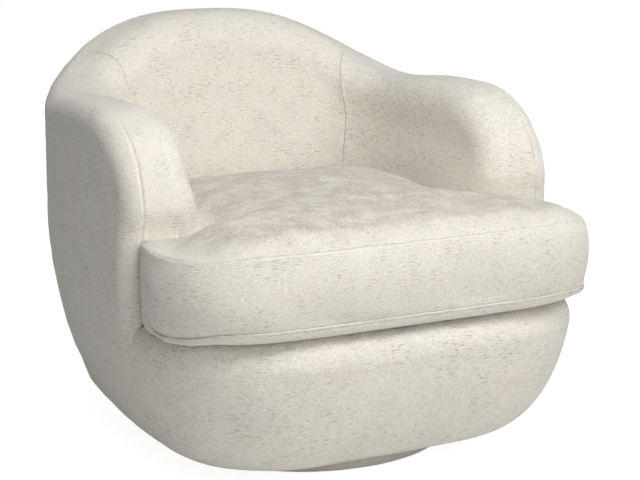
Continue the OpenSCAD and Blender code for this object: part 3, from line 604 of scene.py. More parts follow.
def on_wall(st, ins, d, z):
    """Points of the wall: low down the outline is scaled, and high up it moves inward square to itself."""
    ahead = 1 - smooth(st.u/0.14)
    beside = 1 - ramp(st.u, 0.30, 0.20)
    ins = ins + ARM_NARROWER*ramp(z, 0.40, 0.10)*beside
    points = mix(st.place(ins, d, z), st.place(0, ins + d, z), ramp(z, ROLL_Z, 0.12)[..., None])
    points[..., 1] -= ARM_BULGE*ahead*ramp(z, 0.44, 0.05)
    return points


def roll_depth(z):
    """How far the front border's roll over the front rail has gone inward at a height."""
    return ROLL_R*(1 - np.sqrt(1 - clamp01((z - ROLL_Z)/ROLL_R)**2))


UNDER_ROWS = 7


def belly_rows(z_end, count=90):
    """Section of the belly from the turn-under up to z_end: inset, inward shift and height."""
    share = (BELLY_HIGH - z_end)/(BELLY_HIGH - BELLY_LOW)
    phi = np.linspace(0, 1, count)**1.4*math.acos(share**(BELLY_POWER_Z/2))
    z = BELLY_HIGH - (BELLY_HIGH - BELLY_LOW)*np.cos(phi)**(2/BELLY_POWER_Z)
    ins = FOOT_INSET*(1 - np.sin(phi)**(2/BELLY_POWER_X))
    under = np.linspace(WRAP_W, 0, UNDER_ROWS + 1)[:-1]
    return (np.concatenate([np.full(UNDER_ROWS, FOOT_INSET), ins]), np.concatenate([under, 0*z]),
            np.concatenate([np.full(UNDER_ROWS, BELLY_LOW), z]))


def height_length(z):
    """Distance up the belly's section, as a rule of the height alone."""
    zs = np.linspace(BELLY_LOW, HEIGHT, 400)
    along = arc_length(np.stack([inset(zs), zs, zs*0], -1))
    return np.interp(z, zs, along)


def fabric(u, v, layer=0.0):
    """Places on the flat cloth, across and along it."""
    u, v = np.broadcast_arrays(u, v)
    return np.stack([u, v, np.full(u.shape, layer)], -1)


def whole(half, flip=(), left=None):
    """Both sides, from the right one, and from a left one where it differs; both end on the middle plane.

    flip names the components that change sign on the left.
    """
    other = (half if left is None else left)[-2::-1].copy()
    for k in flip:
        other[..., k] *= -1
    return np.concatenate([half, other])


def outer_radius(st):
    arm = mix(OUTER_ROUND, ARM_TOP_ROUND, smooth(st.u/0.05))
    return mix(arm, CREST_OUTER, st.back)


def inner_radius(st):
    return mix(ARM_INNER_ROUND, INNER_ROUND, st.back)


def seam_shows(st):
    """Strength of the outer seam, which runs out on top of the arm."""
    return 1 - ramp(st.u, 0.075, 0.05)


def seam_groove(seam, z):
    """The outer seam's groove, which fades in just below the roll's top."""
    return seam_fall(seam)*ramp(z, 0.27, 0.02)


def slack_cloth(grid, seed, broad, fine):
    """Unevenness of cloth between its seams: broad and fine waves, each between two lengths."""
    return 0.0009*ripple(grid, seed, *broad) + 0.0002*ripple(grid, seed + 1, *fine)


FINE_LEN = 0.1
FRONT_MARKS = FINE_LEN*(np.arange(91)/90)**3


def build_outer():
    """Outside of the back, the arms and the belly, up to the outer seam."""
    p = np.concatenate([FRONT_MARKS, np.linspace(FINE_LEN, MIDDLE, 176)[1:]])
    st = stations_at(p)
    ins, d, z = [np.broadcast_to(a, (len(p), len(a))) for a in belly_rows(ROLL_TOP)]
    top = st.crest - (st.crest - ROLL_TOP)*np.linspace(1, 0, 145)[1:]**2
    z = np.concatenate([z, top], 1)
    ins = np.concatenate([ins, inset(top)], 1)
    r = outer_radius(st)
    far, way = to_edge(p[:, None], z)
    share = clamp01(roll_depth(z)/r)
    slim = smooth((0.40 - z)/0.19)*ramp(z, 0.066, 0.05)
    slim = slim*ramp(st.y, -0.05, 0.20)*(1 - ramp(st.y, 0.22, 0.16))
    shift = np.concatenate([d, 0*top], 1) + share*r*quarter(far, r) + BELLY_SLIM*slim
    turn, seam, added = rolled(far, r)
    grid = whole(on_wall(st, ins, shift, z), (0,))
    rounding = whole(turned_normals(st, 1, turn, way), (0,))
    plain = whole(np.maximum(smooth((far/r - 1)/0.5), 1 - share))[..., None]
    n = unit(mix(rounding, normals(grid), plain))
    z, seam = whole(z), whole(seam)
    slack = smooth(arc_length(grid)/0.06)*smooth(seam/0.03)
    move = seam_groove(seam, z)*whole(seam_shows(st) + 0*far)
    move = move + slack_cloth(grid, 3, (0.12, 0.34), (0.03, 0.07))*slack
    grid = grid + n*move[..., None]
    u = whole((MIDDLE - p)[:, None] - added*way[..., 0])
    u[len(p):] *= -1
    v = height_length(z) + whole(added*way[..., 1])
    return make("outer_wall_cover", grid, grid_faces(*grid.shape[:2]), CLOTH, fabric(u, v))


def build_border():
    """Front of the belly between the arm fronts, rolled over the front rail to the deck."""
    right = 360 + ARM_T
    dense = np.concatenate([np.linspace(540 - right, 270, 400), np.linspace(270, right, 400)[1:]])
    along = arc_length(Stations(dense).line(0))
    u = np.linspace(0, along[-1], 236)
    st = Stations(np.interp(u, along, dense))
    ins, d, z = belly_rows(ROLL_Z, 70)
    phi = np.radians(np.linspace(0, 90, 40)[1:])
    ledge = np.linspace(ROLL_R, FRAME_IN, 14)[1:]
    z = np.concatenate([z, ROLL_Z + ROLL_R*np.sin(phi), np.full(len(ledge), ROLL_TOP)])
    d = np.concatenate([d, ROLL_R*(1 - np.cos(phi)), ledge])
    ins = np.concatenate([ins, inset(z[len(ins):])])
    grid = on_wall(st, *[np.broadcast_to(a, (len(u), len(a))) for a in (ins, d, z)])
    low = arc_length(grid)
    side = np.minimum(u, along[-1] - u)[:, None]
    slack = smooth(low/0.06)*smooth((low[:, -1:] - low)/0.03)*smooth(side/0.03)
    move = 0.0010*ripple(grid, 5, 0.12, 0.32)*slack
    move = move + 0.0004*ripple(grid*[0.4, 0.4, 1], 6, 0.02, 0.05)*slack*ramp(grid[..., 2], 0.2, 0.06)
    grid = grid + normals(grid)*move[..., None]
    cloth = fabric((u - along[-1]/2)[:, None], low - low[:, UNDER_ROWS:UNDER_ROWS + 1], BORDER_LAYER)
    return make("front_border_cover", grid, grid_faces(*grid.shape[:2]), CLOTH, cloth)


# Shares of the band between the outer seam and the pad's rounding, and of the pad's height
BAND_W = 0.041
BAND = marks(BAND_W, 7, True, False)/BAND_W
PAD_ROWS = np.linspace(0, 1, 112)**2

# Degrees by which each inside seam leaves SEAM_T at some heights
SEAM_SHIFT_Z = [0.45, 0.55, 0.65, 0.70]
SEAM_SHIFT = {1: [-9.0, -7.5, -1.0, 4.5], -1: [-6.0, 2.0, 7.0, 8.0]}


def seam_place(z, side):
    """Plan distance of the inside seam at a height, on the right (1) or the left (-1)."""
    return np.interp(SEAM_T + np.interp(z, SEAM_SHIFT_Z, SEAM_SHIFT[side]), WALL_T, PLAN)


def pad_heights(crest):
    return crest - (crest - PAD_LOW)*PAD_ROWS


def inner_depth(st, far, z):
    """How far the inside face lies from the outside: rounded at the edge, leaning, full at the cushion."""
    top = st.crest - CREST_DROP
    fall = clamp01((top - z)/np.maximum(top - PAD_LOW, 0.02))
    fall = fall*fall/(fall + 0.12)*1.12
    swell = ARM_LOW_SWELL*smooth((0.545 - z)/0.13)*(1 - st.back)
    r = inner_radius(st)
    return st.thick - r*quarter(far, r) + st.lean*fall + swell


def pad_half(p, fade, side):
    """A pad from its outer seam over the band and down the inside: place, normal, cloth and seam distance.

    Its columns follow the inside seam as far as fade says, from 0 to 1.
    """
    z = pad_heights(stations_at(p).crest)
    q = p[:, None] + (seam_place(z, side) - SEAM_P)*fade[:, None]
    st = stations_at(q)
    z = pad_heights(st.crest)
    far, way = to_edge(q, z)
    r_in = inner_radius(st)
    turn, _, added = rolled(far, r_in)
    d = inner_depth(st, far, z)
    face = on_wall(st, inset(z), d, z)
    n = unit(mix(turned_normals(st, -1, turn, way), normals(face), smooth((far/r_in - 1)/0.3)[..., None]))
    inner_u = np.interp(q, PLAN, INSIDE[-1] - INSIDE)
    edge = Stations(st.t[:, 0])
    r = outer_radius(edge)
    reach = d[:, :1] - r
    band_d = r + reach*BAND[:-1]
    band_z = edge.crest + 0*band_d
    band = on_wall(edge, inset(band_z), band_d, band_z)
    band_way = np.broadcast_to(way[:, :1], band.shape[:2] + (2,))
    band_n = turned_normals(edge, -1, np.ones(band.shape[:2]), band_way)
    rest = added[:, :1] + reach*(1 - BAND[:-1])
    u = np.concatenate([inner_u[:, :1] - rest*band_way[..., 0], inner_u - added*way[..., 0]], 1)
    v = np.concatenate([band_z + rest*band_way[..., 1], z + added*way[..., 1]], 1)
    seam = np.concatenate([reach*BAND[:-1], reach + far], 1)
    shows = np.broadcast_to(seam_shows(edge), seam.shape)
    return np.concatenate([band, face], 1), np.concatenate([band_n, n], 1), np.stack([u, v], -1), seam, shows


def front_strip():
    """Flat front of the right-hand arm, from its outer seam to where it rounds inward."""
    st = Stations([ARM_T])
    z = pad_heights(st.crest[0])[:, None]
    outer_d = np.minimum(outer_radius(st), roll_depth(z))
    reach = inner_depth(st, 0*z.T, z.T).T - outer_d
    d = outer_d + reach*BAND
    z = z + 0*d
    grid = on_wall(st, *[a.reshape(1, -1) for a in (inset(z), d, z)]).reshape(z.shape + (3,))
    n = np.broadcast_to([0.0, -1.0, 0.0], grid.shape)
    u = INSIDE[-1] + ARM_INNER_ROUND*(math.pi/2 - 1) + reach*(1 - BAND)
    return grid, n, np.stack([u, z], -1), reach*BAND + 0*z


def pad_move(grid, seam, side, shows, seed):
    """Movement of a pad's surface along its normals, for its seams and the cloth's slack."""
    z = grid[..., 2]
    slack = smooth(seam/0.02)*smooth(side/0.02)*ramp(z, PAD_LOW, 0.03)
    inside_seam = seam_fall(side, 0.0034)*smooth(seam/0.03)
    waves = slack_cloth(grid, seed, (0.10, 0.28), (0.025, 0.06))
    return seam_groove(seam, z)*shows + inside_seam + waves*slack


def welded(obj, distance=4e-6):
    """Joins the parts of a mesh along the lines that they share."""
    shape = bmesh.new()
    shape.from_mesh(obj.data)
    bmesh.ops.remove_doubles(shape, verts=shape.verts, dist=distance)
    shape.to_mesh(obj.data)
    shape.free()
    return obj


def build_arm(name, side, seed):
    """One arm, on the right (1) or the left (-1), from its front to the seam on the inside of the back."""
    p = np.concatenate([FRONT_MARKS, FINE_LEN + marks(SEAM_P - FINE_LEN, 90, False, True)[1:]])
    grid, n, uv, seam, shows = pad_half(p, ramp(p, 0.12, SEAM_P - 0.12), side)
    strip, strip_n, strip_uv, strip_seam = front_strip()
    flip = np.array([side, 1, 1])
    grid, n, strip, strip_n = grid*flip, n*flip, strip*flip, strip_n*flip
    ahead = (SEAM_P - p)[:, None]
    grid = grid + n*pad_move(grid, seam, ahead, shows, seed)[..., None]
    strip = strip + strip_n*pad_move(strip, strip_seam, SEAM_P, 1.0, seed)[..., None]
    faces = grid_faces(*grid.shape[:2])
    faces += grid_faces(strip.shape[1], strip.shape[0], start=grid.shape[0]*grid.shape[1])
    strip, strip_uv = strip.transpose(1, 0, 2), strip_uv.transpose(1, 0, 2)
    verts = np.concatenate([grid.reshape(-1, 3), strip.reshape(-1, 3)])
    uv = np.concatenate([uv.reshape(-1, 2), strip_uv.reshape(-1, 2)])*[side, 1]
    if side < 0:
        faces = [f[::-1] for f in faces]
    return welded(make(name, verts, faces, CLOTH, fabric(uv[:, 0], uv[:, 1], ARM_LAYERS[side])))


def build_back():
    """Inside of the back, between the two inside seams."""
    p = SEAM_P + marks(MIDDLE - SEAM_P, 70, True, False)
    fade = 1 - smooth((p - SEAM_P)/(MIDDLE - SEAM_P))
    flips = [(0,), (0,), (0,), (), ()]
    sides = zip(pad_half(p, fade, 1), flips, pad_half(p, fade, -1))
    grid, n, uv, seam, shows = [whole(*right_and_left) for right_and_left in sides]
    side = whole((p - SEAM_P)[:, None])
    grid = grid + n*pad_move(grid, seam, side, shows, 31)[..., None]
    cloth = fabric(uv[..., 0], uv[..., 1], BACK_LAYER)
    return make("back_inside_cover", grid, grid_faces(*grid.shape[:2]), CLOTH, cloth)


outer = build_outer()
border = build_border()
arm_right = build_arm("arm_right_cover", 1, 11)
arm_left = build_arm("arm_left_cover", -1, 21)
back = build_back()


# Deck under the cushion

INNER_CORNER = 0.080


def inside_points(t, side_room, back_room):
    """Plan of the inside face low down, moved inward by a room at the sides and one behind."""
    st = Stations(t)
    w = smooth(1 - np.abs(st.t - 90)/50)
    corner = INNER_CORNER*quarter(st.u, INNER_CORNER)
    d = st.thick - corner + st.lean + mix(side_room, back_room, w)
    return st.line(d + inset(PAD_LOW))[:, :2]


def even_loop(points, step):
    """Closed line with points an even distance apart; columns beyond two follow along."""
    loop = np.concatenate([points, points[:1]])
    along = arc_length(loop[:, :2])
    count = int(round(along[-1]/step))
    m = np.linspace(0, along[-1], count + 1)[:-1]
    return np.stack([np.interp(m, along, loop[:, k]) for k in range(points.shape[1])], -1)


def rounded(loop, sigma, step):
    """Closed line with its corners eased by an average over its neighbours."""
    reach = int(4*sigma/step)
    weight = np.exp(-0.5*(np.arange(-reach, reach + 1)*step/sigma)**2)
    weight /= weight.sum()
    return sum(w*np.roll(loop, k, axis=0) for w, k in zip(weight, range(-reach, reach + 1)))


def mirrored(half):
    """Whole loop from its right half, which starts and ends on the middle plane.

    Its columns are x and y, and for the cushion a share and a lean in x and y.
    """
    other = half[-2:0:-1].copy()
    other[:, 0] *= -1
    if half.shape[1] > 3:
        other[:, 3] *= -1
    return np.concatenate([half, other])


# Rings of the deck from its lower edge to its middle: share of the width, and height
DECK_RINGS = [(1.0, 0.262), (1.0, 0.288), (0.998, 0.2925), (0.992, 0.2945), (0.97, 0.2952), (0.9, 0.2945),
              (0.8, 0.2940), (0.6, 0.2935), (0.4, 0.2932), (0.2, 0.2930), (0.02, 0.2930)]
DECK_MID = np.array([0.0, -0.02])
DECK_ROOM = 0.0006


def build_deck():
    """Padded deck that the cushion lies on."""
    front = Stations(np.linspace(270, 360 + ARM_T, 60)[:-1])
    lip = front.line(inset(ROLL_TOP) + FRAME_IN - 0.001)[:, :2]
    half = np.concatenate([lip, inside_points(WALL_T[::3], DECK_ROOM, DECK_ROOM)])
    half[0, 0] = half[-1, 0] = 0
    loop = even_loop(mirrored(half), 0.009)
    away = loop - DECK_MID
    grid = np.stack([np.column_stack([DECK_MID + away*f, np.full(len(loop), z)]) for f, z in DECK_RINGS], 1)
    grid[..., 2] += 0.0006*ripple(grid, 41, 0.05, 0.16)*(grid[..., 2] > 0.2925)
    return make("deck_cover", grid, closed_faces(grid, last=True), DECKING, grid)


deck = build_deck()


# Loose cushion

ZIP_Y = float(inside_points([90.0], SIDE_GAP, BACK_GAP)[0, 1]) - ZIP_R
LOOP_STEP = 0.0062
# Side of the ear, front to back: distance inside its width, y, and share of the swell
EAR_SIDE = [(0.004, EAR_BACK, CORNER_SHARE), (0.0045, -0.24, CORNER_SHARE), (0.0065, -0.222, CORNER_SHARE),
            (0.0095, -0.208, 0), (0.017, -0.2015, 0), (0.038, -0.201, 0)]


def cushion_half():
    """Right half of the outline: place, share of the swell, lean outward at the top."""
    phi = np.radians(np.linspace(0, 73, 220))
    x = EAR_W*np.sin(phi)**(2/EAR_POWER)
    y = -FRONT_LEN*np.cos(phi)**(2/EAR_POWER)
    front = np.column_stack([x, y, mix(1, CORNER_SHARE, (x/EAR_W)**5), x*0, x*0])
    ear = np.array([(EAR_W - dx, y, share, 0, 0) for dx, y, share in EAR_SIDE])
    front = np.concatenate([front, ear])
    front[:, 2] = mix(0.1, front[:, 2], ramp(-front[:, 1], 0.22, 0.10))*(front[:, 2] > 0)
    t = np.concatenate([ARCH_T, np.linspace(ARCH_T[-1], 66, 260)[1:]])
    st = Stations(t)
    p = inside_points(t, SIDE_GAP, BACK_GAP)
    v = mix(CUSHION_LEAN, CUSHION_BACK_LEAN, st.back)
    rear = np.column_stack([p, p[:, 0]*0, -v*st.nx, -v*st.ny])
    x = ZIP_R*math.sin(math.radians(ZIP_HALF))*np.linspace(1, 0, 40)
    y = ZIP_Y + np.sqrt(ZIP_R**2 - x*x)
    zip_line = np.column_stack([x, y, x*0, x*0, x*0 + CUSHION_BACK_LEAN])
    return np.concatenate([front, rear, zip_line])


def cushion_loop():
    """Outline of the cushion with even steps, starting behind."""
    loop = rounded(even_loop(mirrored(cushion_half()), LOOP_STEP), 0.005, LOOP_STEP)
    return np.roll(loop, -len(loop)//2, axis=0)


def outward(loop):
    """Way out of a closed line at each of its points."""
    tangent = np.roll(loop[:, :2], -1, 0) - np.roll(loop[:, :2], 1, 0)
    return unit(np.column_stack([tangent[:, 1], -tangent[:, 0]]))


LOOP = cushion_loop()
LOOP_OUT = outward(LOOP)
LOOP_SHARE = LOOP[:, 2]
LOOP_CORNER = clamp01((LOOP_SHARE - 1)/(CORNER_SHARE - 1))
LOOP_LEN = arc_length(np.concatenate([LOOP, LOOP[:1]])[:, :2])[:-1]


def distance_to(points, loop):
    """Distance of plan points from a closed line."""
    flat = points.reshape(-1, 2)
    best = np.full(len(flat), np.inf)
    for p, q in zip(loop, np.roll(loop, -1, 0)):
        d = q - p
        w = clamp01(((flat - p) @ d)/(d @ d))
        best = np.minimum(best, np.linalg.norm(flat - p - w[:, None]*d, axis=1))
    return best.reshape(points.shape[:-1])


def top_fall(x, y):
    """How much lower the cushion's top lies towards the back, along the arms and at the ears."""
    side = mix(0.28, 0.16, smooth((y + 0.26)/0.08))
    return BACK_FALL*clamp01((y - 0.05)/0.25)**1.3 + SIDE_FALL*smooth((np.abs(x) - side)/0.10)


def ear_droop(x):
    """How far the underside of the ears hangs over the rounded front."""
    return EAR_DROOP*ramp(np.abs(x), 0.33, 0.08)


def crown(x, y):
    """Share of the crown's height over the plan."""
    return clamp01(1 - (np.abs(x)/0.478)**2.2)*clamp01(1 - (np.abs(y + 0.083)/0.437)**2.4)


UNDER_SHARES = (0.02, 0.2, 0.4, 0.6, 0.8, 0.9)


def underside_rings():
    """Rings from the middle of the underside out to its edge, then up to the lower seam."""
    plain = LOOP[:, :2]
    rings = []
    for f in UNDER_SHARES:
        p = CUSHION_MID + (plain - CUSHION_MID)*f
        rings.append((p, CUSHION_LOW - ear_droop(p[:, 0])))
    for a in np.radians(np.linspace(0, 90, 9)):
        inward = 0.020*(1 - math.sin(a)) + 0.003*LOOP_SHARE - CORNER_OUT*LOOP_CORNER*math.sin(a)**2
        p = plain - LOOP_OUT*inward[:, None]
        rings.append((p, CUSHION_LOW - ear_droop(p[:, 0]) + (SEAM_LOW - CUSHION_LOW)*(1 - math.cos(a))))
    return rings


def boxing_rings():
    """Rings of the boxing, above the lower seam and up to the upper one, swollen except at the zip."""
    x, y = LOOP[:, 0], LOOP[:, 1]
    off_zip = np.where(y > 0, smooth((np.abs(x) - 0.125)/0.03), 1.0)
    low_z = SEAM_LOW - ear_droop(x)
    height = SEAM_HIGH - top_fall(x, y) - low_z
    rings = []
    for q in marks(SEAM_HIGH - SEAM_LOW, 26, True, True)[1:]/(SEAM_HIGH - SEAM_LOW):
        swell = LOOP_SHARE*(mix(-0.003, 0.002, q) + SWELL*math.sin(math.pi*q)**0.72)
        swell = swell + CORNER_OUT*LOOP_CORNER*(1 - q)**CORNER_FADE
        swell = swell + 0.0015*(1 - LOOP_SHARE)*off_zip*math.sin(math.pi*q)
        p = LOOP[:, :2] + LOOP_OUT*swell[:, None] + LOOP[:, 3:5]*max(0, 2*q - 1)
        rings.append((p, low_z + q*height))
    return rings


def top_outlines(rim):
    """Plan of the top's rings, from the rim to the middle: close together at the seam, then even."""
    away = rim - CUSHION_MID
    r = np.linalg.norm(away, axis=1)[:, None]
    near = [*NEAR[1:], 0.018, 0.024, 0.031, 0.039, 0.048, 0.058]
    outlines = [CUSHION_MID + away*(1 - d/r) for d in near]
    inner = outlines[-1] - CUSHION_MID
    return outlines + [CUSHION_MID + inner*f for f in [*np.linspace(1, 0, 34)[1:-1], 0.008]]


def build_cushion_grid():
    """Cushion before its cloth settles: points, columns of its seams, distance of the top from its rim."""
    rings = underside_rings()
    seam_low = len(rings) - 1
    rings += boxing_rings()
    seam_high = len(rings) - 1
    rim, rim_z = rings[-1]
    outlines = top_outlines(rim)
    xy = np.stack([p for p, _ in rings] + outlines, 1)
    x, y = xy[:, seam_high:, 0], xy[:, seam_high:, 1]
    dist = distance_to(xy[:, seam_high:], rim)
    top = SEAM_HIGH - top_fall(x, y) + EDGE_RISE*(1 - np.exp(-dist/EDGE_BEND))
    top += CROWN_RISE*crown(x, y)*(1 - np.exp(-dist/0.05))
    top[:, 0] = rim_z
    z = np.concatenate([np.stack([z for _, z in rings[:-1]], 1), top], 1)
    return np.concatenate([xy, z[..., None]], -1), seam_low, seam_high, dist


SIM_FRAMES = 20
SIM_VOXEL = 0.0095
SIM_HELD_Z = 0.302
SIM_SETTINGS = {"use_pressure": True, "uniform_pressure_force": 4, "vertex_group_mass": "held", "quality": 5,
                "tension_stiffness": 12, "compression_stiffness": 12, "bending_stiffness": 0.2}
TOP_CAP = (0.004, 0.010)
BOXING_CAP = 0.002


def points_of(mesh):
    co = np.empty(len(mesh.vertices)*3)
    mesh.vertices.foreach_get("co", co)
    return co.reshape(-1, 3)


def evaluated(obj):
    return obj.evaluated_get(bpy.context.evaluated_depsgraph_get())


def simulate(verts, faces):
    """Inflates a remeshed copy of the cushion as cloth and returns its start and its movement."""
    mesh = bpy.data.meshes.new("cloth_copy")
    mesh.from_pydata(verts.reshape(-1, 3).tolist(), [], faces)
    copy = bpy.data.objects.new("cloth_copy", mesh)
    bpy.context.scene.collection.objects.link(copy)
    voxels = copy.modifiers.new("voxels", "REMESH")
    voxels.mode, voxels.voxel_size = "VOXEL", SIM_VOXEL
    bpy.context.view_layer.update()
    made = bpy.data.meshes.new_from_object(evaluated(copy))
    copy.modifiers.clear()
    copy.data = made
    start = points_of(made)
    held = copy.vertex_groups.new(name="held")
    held.add([int(k) for k in np.nonzero(start[:, 2] < SIM_HELD_Z)[0]], 1.0, "REPLACE")
    cloth = copy.modifiers.new("cloth", "CLOTH")
    cloth.settings.effector_weights.gravity = 0
    for key, value in SIM_SETTINGS.items():
        setattr(cloth.settings, key, value)
    cloth.point_cache.frame_start, cloth.point_cache.frame_end = 1, SIM_FRAMES
    for number in range(1, SIM_FRAMES + 1):
        bpy.context.scene.frame_set(number)
    after = points_of(evaluated(copy).to_mesh())
    bpy.context.scene.frame_set(1)
    bpy.data.objects.remove(copy)
    return start, after - start


def carried(points, start, move, count=6):
    """Movement of the nearest simulated points, weighted by nearness."""
    tree = KDTree(len(start))
    for k, p in enumerate(start):
        tree.insert(p, k)
    tree.balance()
    out = np.zeros_like(points)
    for i, p in enumerate(points):
        found = tree.find_n(Vector(p), count)
        w = np.array([1/(f[2] + 0.002)**2 for f in found])
        out[i] = (move[[f[1] for f in found]]*w[:, None]).sum(0)/w.sum()
    return out


def arc_from(grid, col):
    """Distance along each profile from one of its columns, negative before it."""
    along = arc_length(grid)
    return along - along[:, col][:, None]


def settled(grid, seam_low, seam_high, dist):
    """The cushion moved as its simulated copy moves, within a cap for the top and one for the boxing."""
    start, move = simulate(grid, closed_faces(grid, first=True, last=True))
    carry = carried(grid.reshape(-1, 3), start, move).reshape(grid.shape)
    cap = np.zeros(grid.shape[:2])
    cap[:, seam_low + 1:seam_high + 1] = BOXING_CAP*LOOP_SHARE[:, None]
    cap[:, seam_high + 1:] = mix(*TOP_CAP, smooth(dist[:, 1:]/0.05))
    size = np.linalg.norm(carry, axis=-1)
    return grid + carry*np.minimum(1, cap/np.maximum(size, 1e-9))[..., None]


def build_cushion():
    """Cushion with its seams, the puckers that run away from them, and the cloth's slack."""
    grid, seam_low, seam_high, dist = build_cushion_grid()
    grid = settled(grid, seam_low, seam_high, dist)
    share = LOOP_SHARE[:, None]
    low = np.abs(arc_from(grid, seam_low))
    high = np.abs(arc_from(grid, seam_high))
    col = np.arange(grid.shape[1])[None]
    s = LOOP_LEN[:, None] + 0*low
    line = np.stack([s, 0*s, 0*s], -1)
    pucker = ripple(line, 51, 0.014, 0.034)*np.exp(-low/0.011)
    pucker = pucker + ripple(line, 52, 0.016, 0.045)*np.exp(-high/0.010)*0.6
    visible = 0.25 + 0.75*share
    move = 0.0006*pucker + seam_fall(high, 0.0008, 0.0002) + seam_fall(low, 0.0014, 0.0002)
    body = smooth(low/0.02)*smooth(high/0.02)*(col > seam_low)
    top = (col > seam_high)*smooth(high/0.03)
    move = move*visible + 0.0012*ripple(grid, 53, 0.09, 0.26)*body*share
    move = move + top*(0.0018*ripple(grid, 54, 0.12, 0.34) + 0.0004*ripple(grid, 55, 0.04, 0.08))
    return grid + normals(grid, closed=True)*move[..., None], seam_low, seam_high


cushion_grid, SEAM_A, SEAM_B = build_cushion()


def build_cushion_pieces():
    """Top with its boxing, in two cloths, and the underside."""
    grid = cushion_grid
    side_v = arc_from(grid, SEAM_A)
    u = LOOP_LEN[:, None] - LOOP_LEN[-1]/2
    wall = fabric(u + 0*side_v, side_v, BOXING_LAYER)
    flat = fabric(grid[..., 0], grid[..., 1], CUSHION_LAYER)
    cover = grid[:, SEAM_A:]
    cols = cover.shape[1]
    split = SEAM_B - SEAM_A
    cloth = np.where((np.arange(cols) <= split)[None, :, None], wall[:, SEAM_A:], flat[:, SEAM_A:])
    inward = np.maximum(side_v[:, SEAM_A:] - side_v[:, SEAM_B][:, None], 0)
    faces = closed_faces(cover, last=True)
    top = make("cushion_cover_piece", cover, faces, CLOTH, cloth, {"inward": inward})
    top.data.materials.append(CLOTH_SEAT)
    on_top = np.tile(np.arange(cols - 1) >= split, len(grid))
    top.data.polygons.foreach_set("material_index", np.append(on_top, True).astype(np.int32))
    under = grid[:, :SEAM_A + 1]
    on_edge = (np.arange(SEAM_A + 1) >= len(UNDER_SHARES))[None, :, None]
    cloth = np.where(on_edge, wall[:, :SEAM_A + 1], flat[:, :SEAM_A + 1])
    return top, make("cushion_underside", under, closed_faces(under, first=True), CLOTH, cloth)


cushion_top, cushion_base = build_cushion_pieces()


def tube(name, line, normal, radius, material, layer, sides=12):
    """Round piping along an open line; it narrows at its ends, where it is tucked in."""
    tangent = unit(np.gradient(line, axis=0))
    up = np.cross(tangent, normal)
    a = np.linspace(0, 2*np.pi, sides, endpoint=False)
    r = np.full(len(line), radius)
    r[0] = r[-1] = radius*0.15
    r[1] = r[-2] = radius*0.7
    around = normal[:, None]*np.cos(a)[:, None] + up[:, None]*np.sin(a)[:, None]
    ring = line[:, None] + r[:, None, None]*around
    cloth = fabric(arc_length(line)[:, None], (a*radius)[None], layer)
    faces = []
    for low in range(0, (len(line) - 1)*sides, sides):
        faces += [[low + j, low + (j + 1) % sides, low + sides + (j + 1) % sides, low + sides + j]
                  for j in range(sides)]
    faces.append(list(range(sides))[::-1])
    faces.append([(len(line) - 1)*sides + j for j in range(sides)])
    return make(name, ring, faces, material, cloth)


WELT_R = 0.0021
WELT_OUT = 0.0010


def build_welt():
    """Piping of the lower seam, round the front as far as the ears reach back."""
    front = np.nonzero(LOOP[:, 1] < EAR_BACK)[0]
    normal = np.column_stack([LOOP_OUT, np.zeros(len(LOOP))])[front]
    line = cushion_grid[front, SEAM_A] + normal*WELT_OUT
    return tube("cushion_welt_cord", line, normal, WELT_R, CLOTH, WELT_LAYER)


welt = build_welt()


# Plinth band, felt and dust cover

PLINTH_R = 0.284
PLINTH_LOW = 0.002
PLINTH_TOP = 0.032
FELT_R = 0.262
FELT_THICK = 0.002
DUST_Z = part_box("dust_cover")[0][2]
DUST_HOLE = 0.188
DUST_LAP = 0.002
DUST_DROP = 0.0004


def turned(profile, turns):
    """Surface of a profile of radii and heights, turned about the upright axis."""
    return np.stack([np.column_stack([r*np.cos(turns), r*np.sin(turns), 0*turns + z]) for r, z in profile], 1)


def build_plinth():
    """Cloth band round the plinth, turned in above and below."""
    turns = np.radians(np.linspace(0, 360, 241)[:-1])
    profile = [(-0.025, PLINTH_LOW), (-0.0035, PLINTH_LOW), (-0.001, PLINTH_LOW + 0.0008),
               (0, PLINTH_LOW + 0.003), (0.0004, 0.012), (0.0004, 0.022), (0, PLINTH_TOP - 0.004),
               (-0.001, PLINTH_TOP - 0.001), (-0.004, PLINTH_TOP), (-0.026, PLINTH_TOP)]
    grid = turned([(PLINTH_R + d, z) for d, z in profile], turns)
    cloth = fabric((turns*PLINTH_R)[:, None], arc_length(grid), PLINTH_LAYER)
    grid[..., :2] *= (1 + 0.0008*ripple(grid, 61, 0.05, 0.15))[..., None]
    return make("plinth_band", grid, closed_faces(grid), CLOTH, cloth)


def build_felt():
    """Felt disc under the plinth."""
    top, eased = FELT_THICK, 0.0003
    profile = [(0.012, 0), (0.10, 0), (0.20, 0), (FELT_R - 0.001, 0), (FELT_R - eased, eased),
               (FELT_R, 0.001),
               (FELT_R - eased, top - eased), (FELT_R - 0.001, top), (0.20, top), (0.012, top)]
    grid = turned(profile, np.radians(np.arange(0, 360, 2)))
    return make("floor_felt_pad", grid, closed_faces(grid, first=True, last=True), FELT, grid)


def build_dust_cover():
    """Thin cloth stretched under the board, from the turned-under upholstery to the swivel plate."""
    rim = Stations(np.arange(0, 360, 2)).line(WRAP_W, FOOT_INSET + DUST_LAP)[:, :2]
    hole = rim*(DUST_HOLE/np.linalg.norm(rim, axis=1))[:, None]
    shares = np.linspace(0, 1, 15)
    grid = np.stack([np.column_stack([mix(rim, hole, f), np.full(len(rim), DUST_Z)]) for f in shares], 1)
    sag = (0.0004*ripple(grid, 71, 0.03, 0.09) + 0.0003)*np.sin(np.pi*shares)[None]
    grid[..., 2] -= DUST_DROP + sag
    return make("dust_cover_cloth", grid, closed_faces(grid), CAMBRIC, grid)


# Zip along the back of the boxing

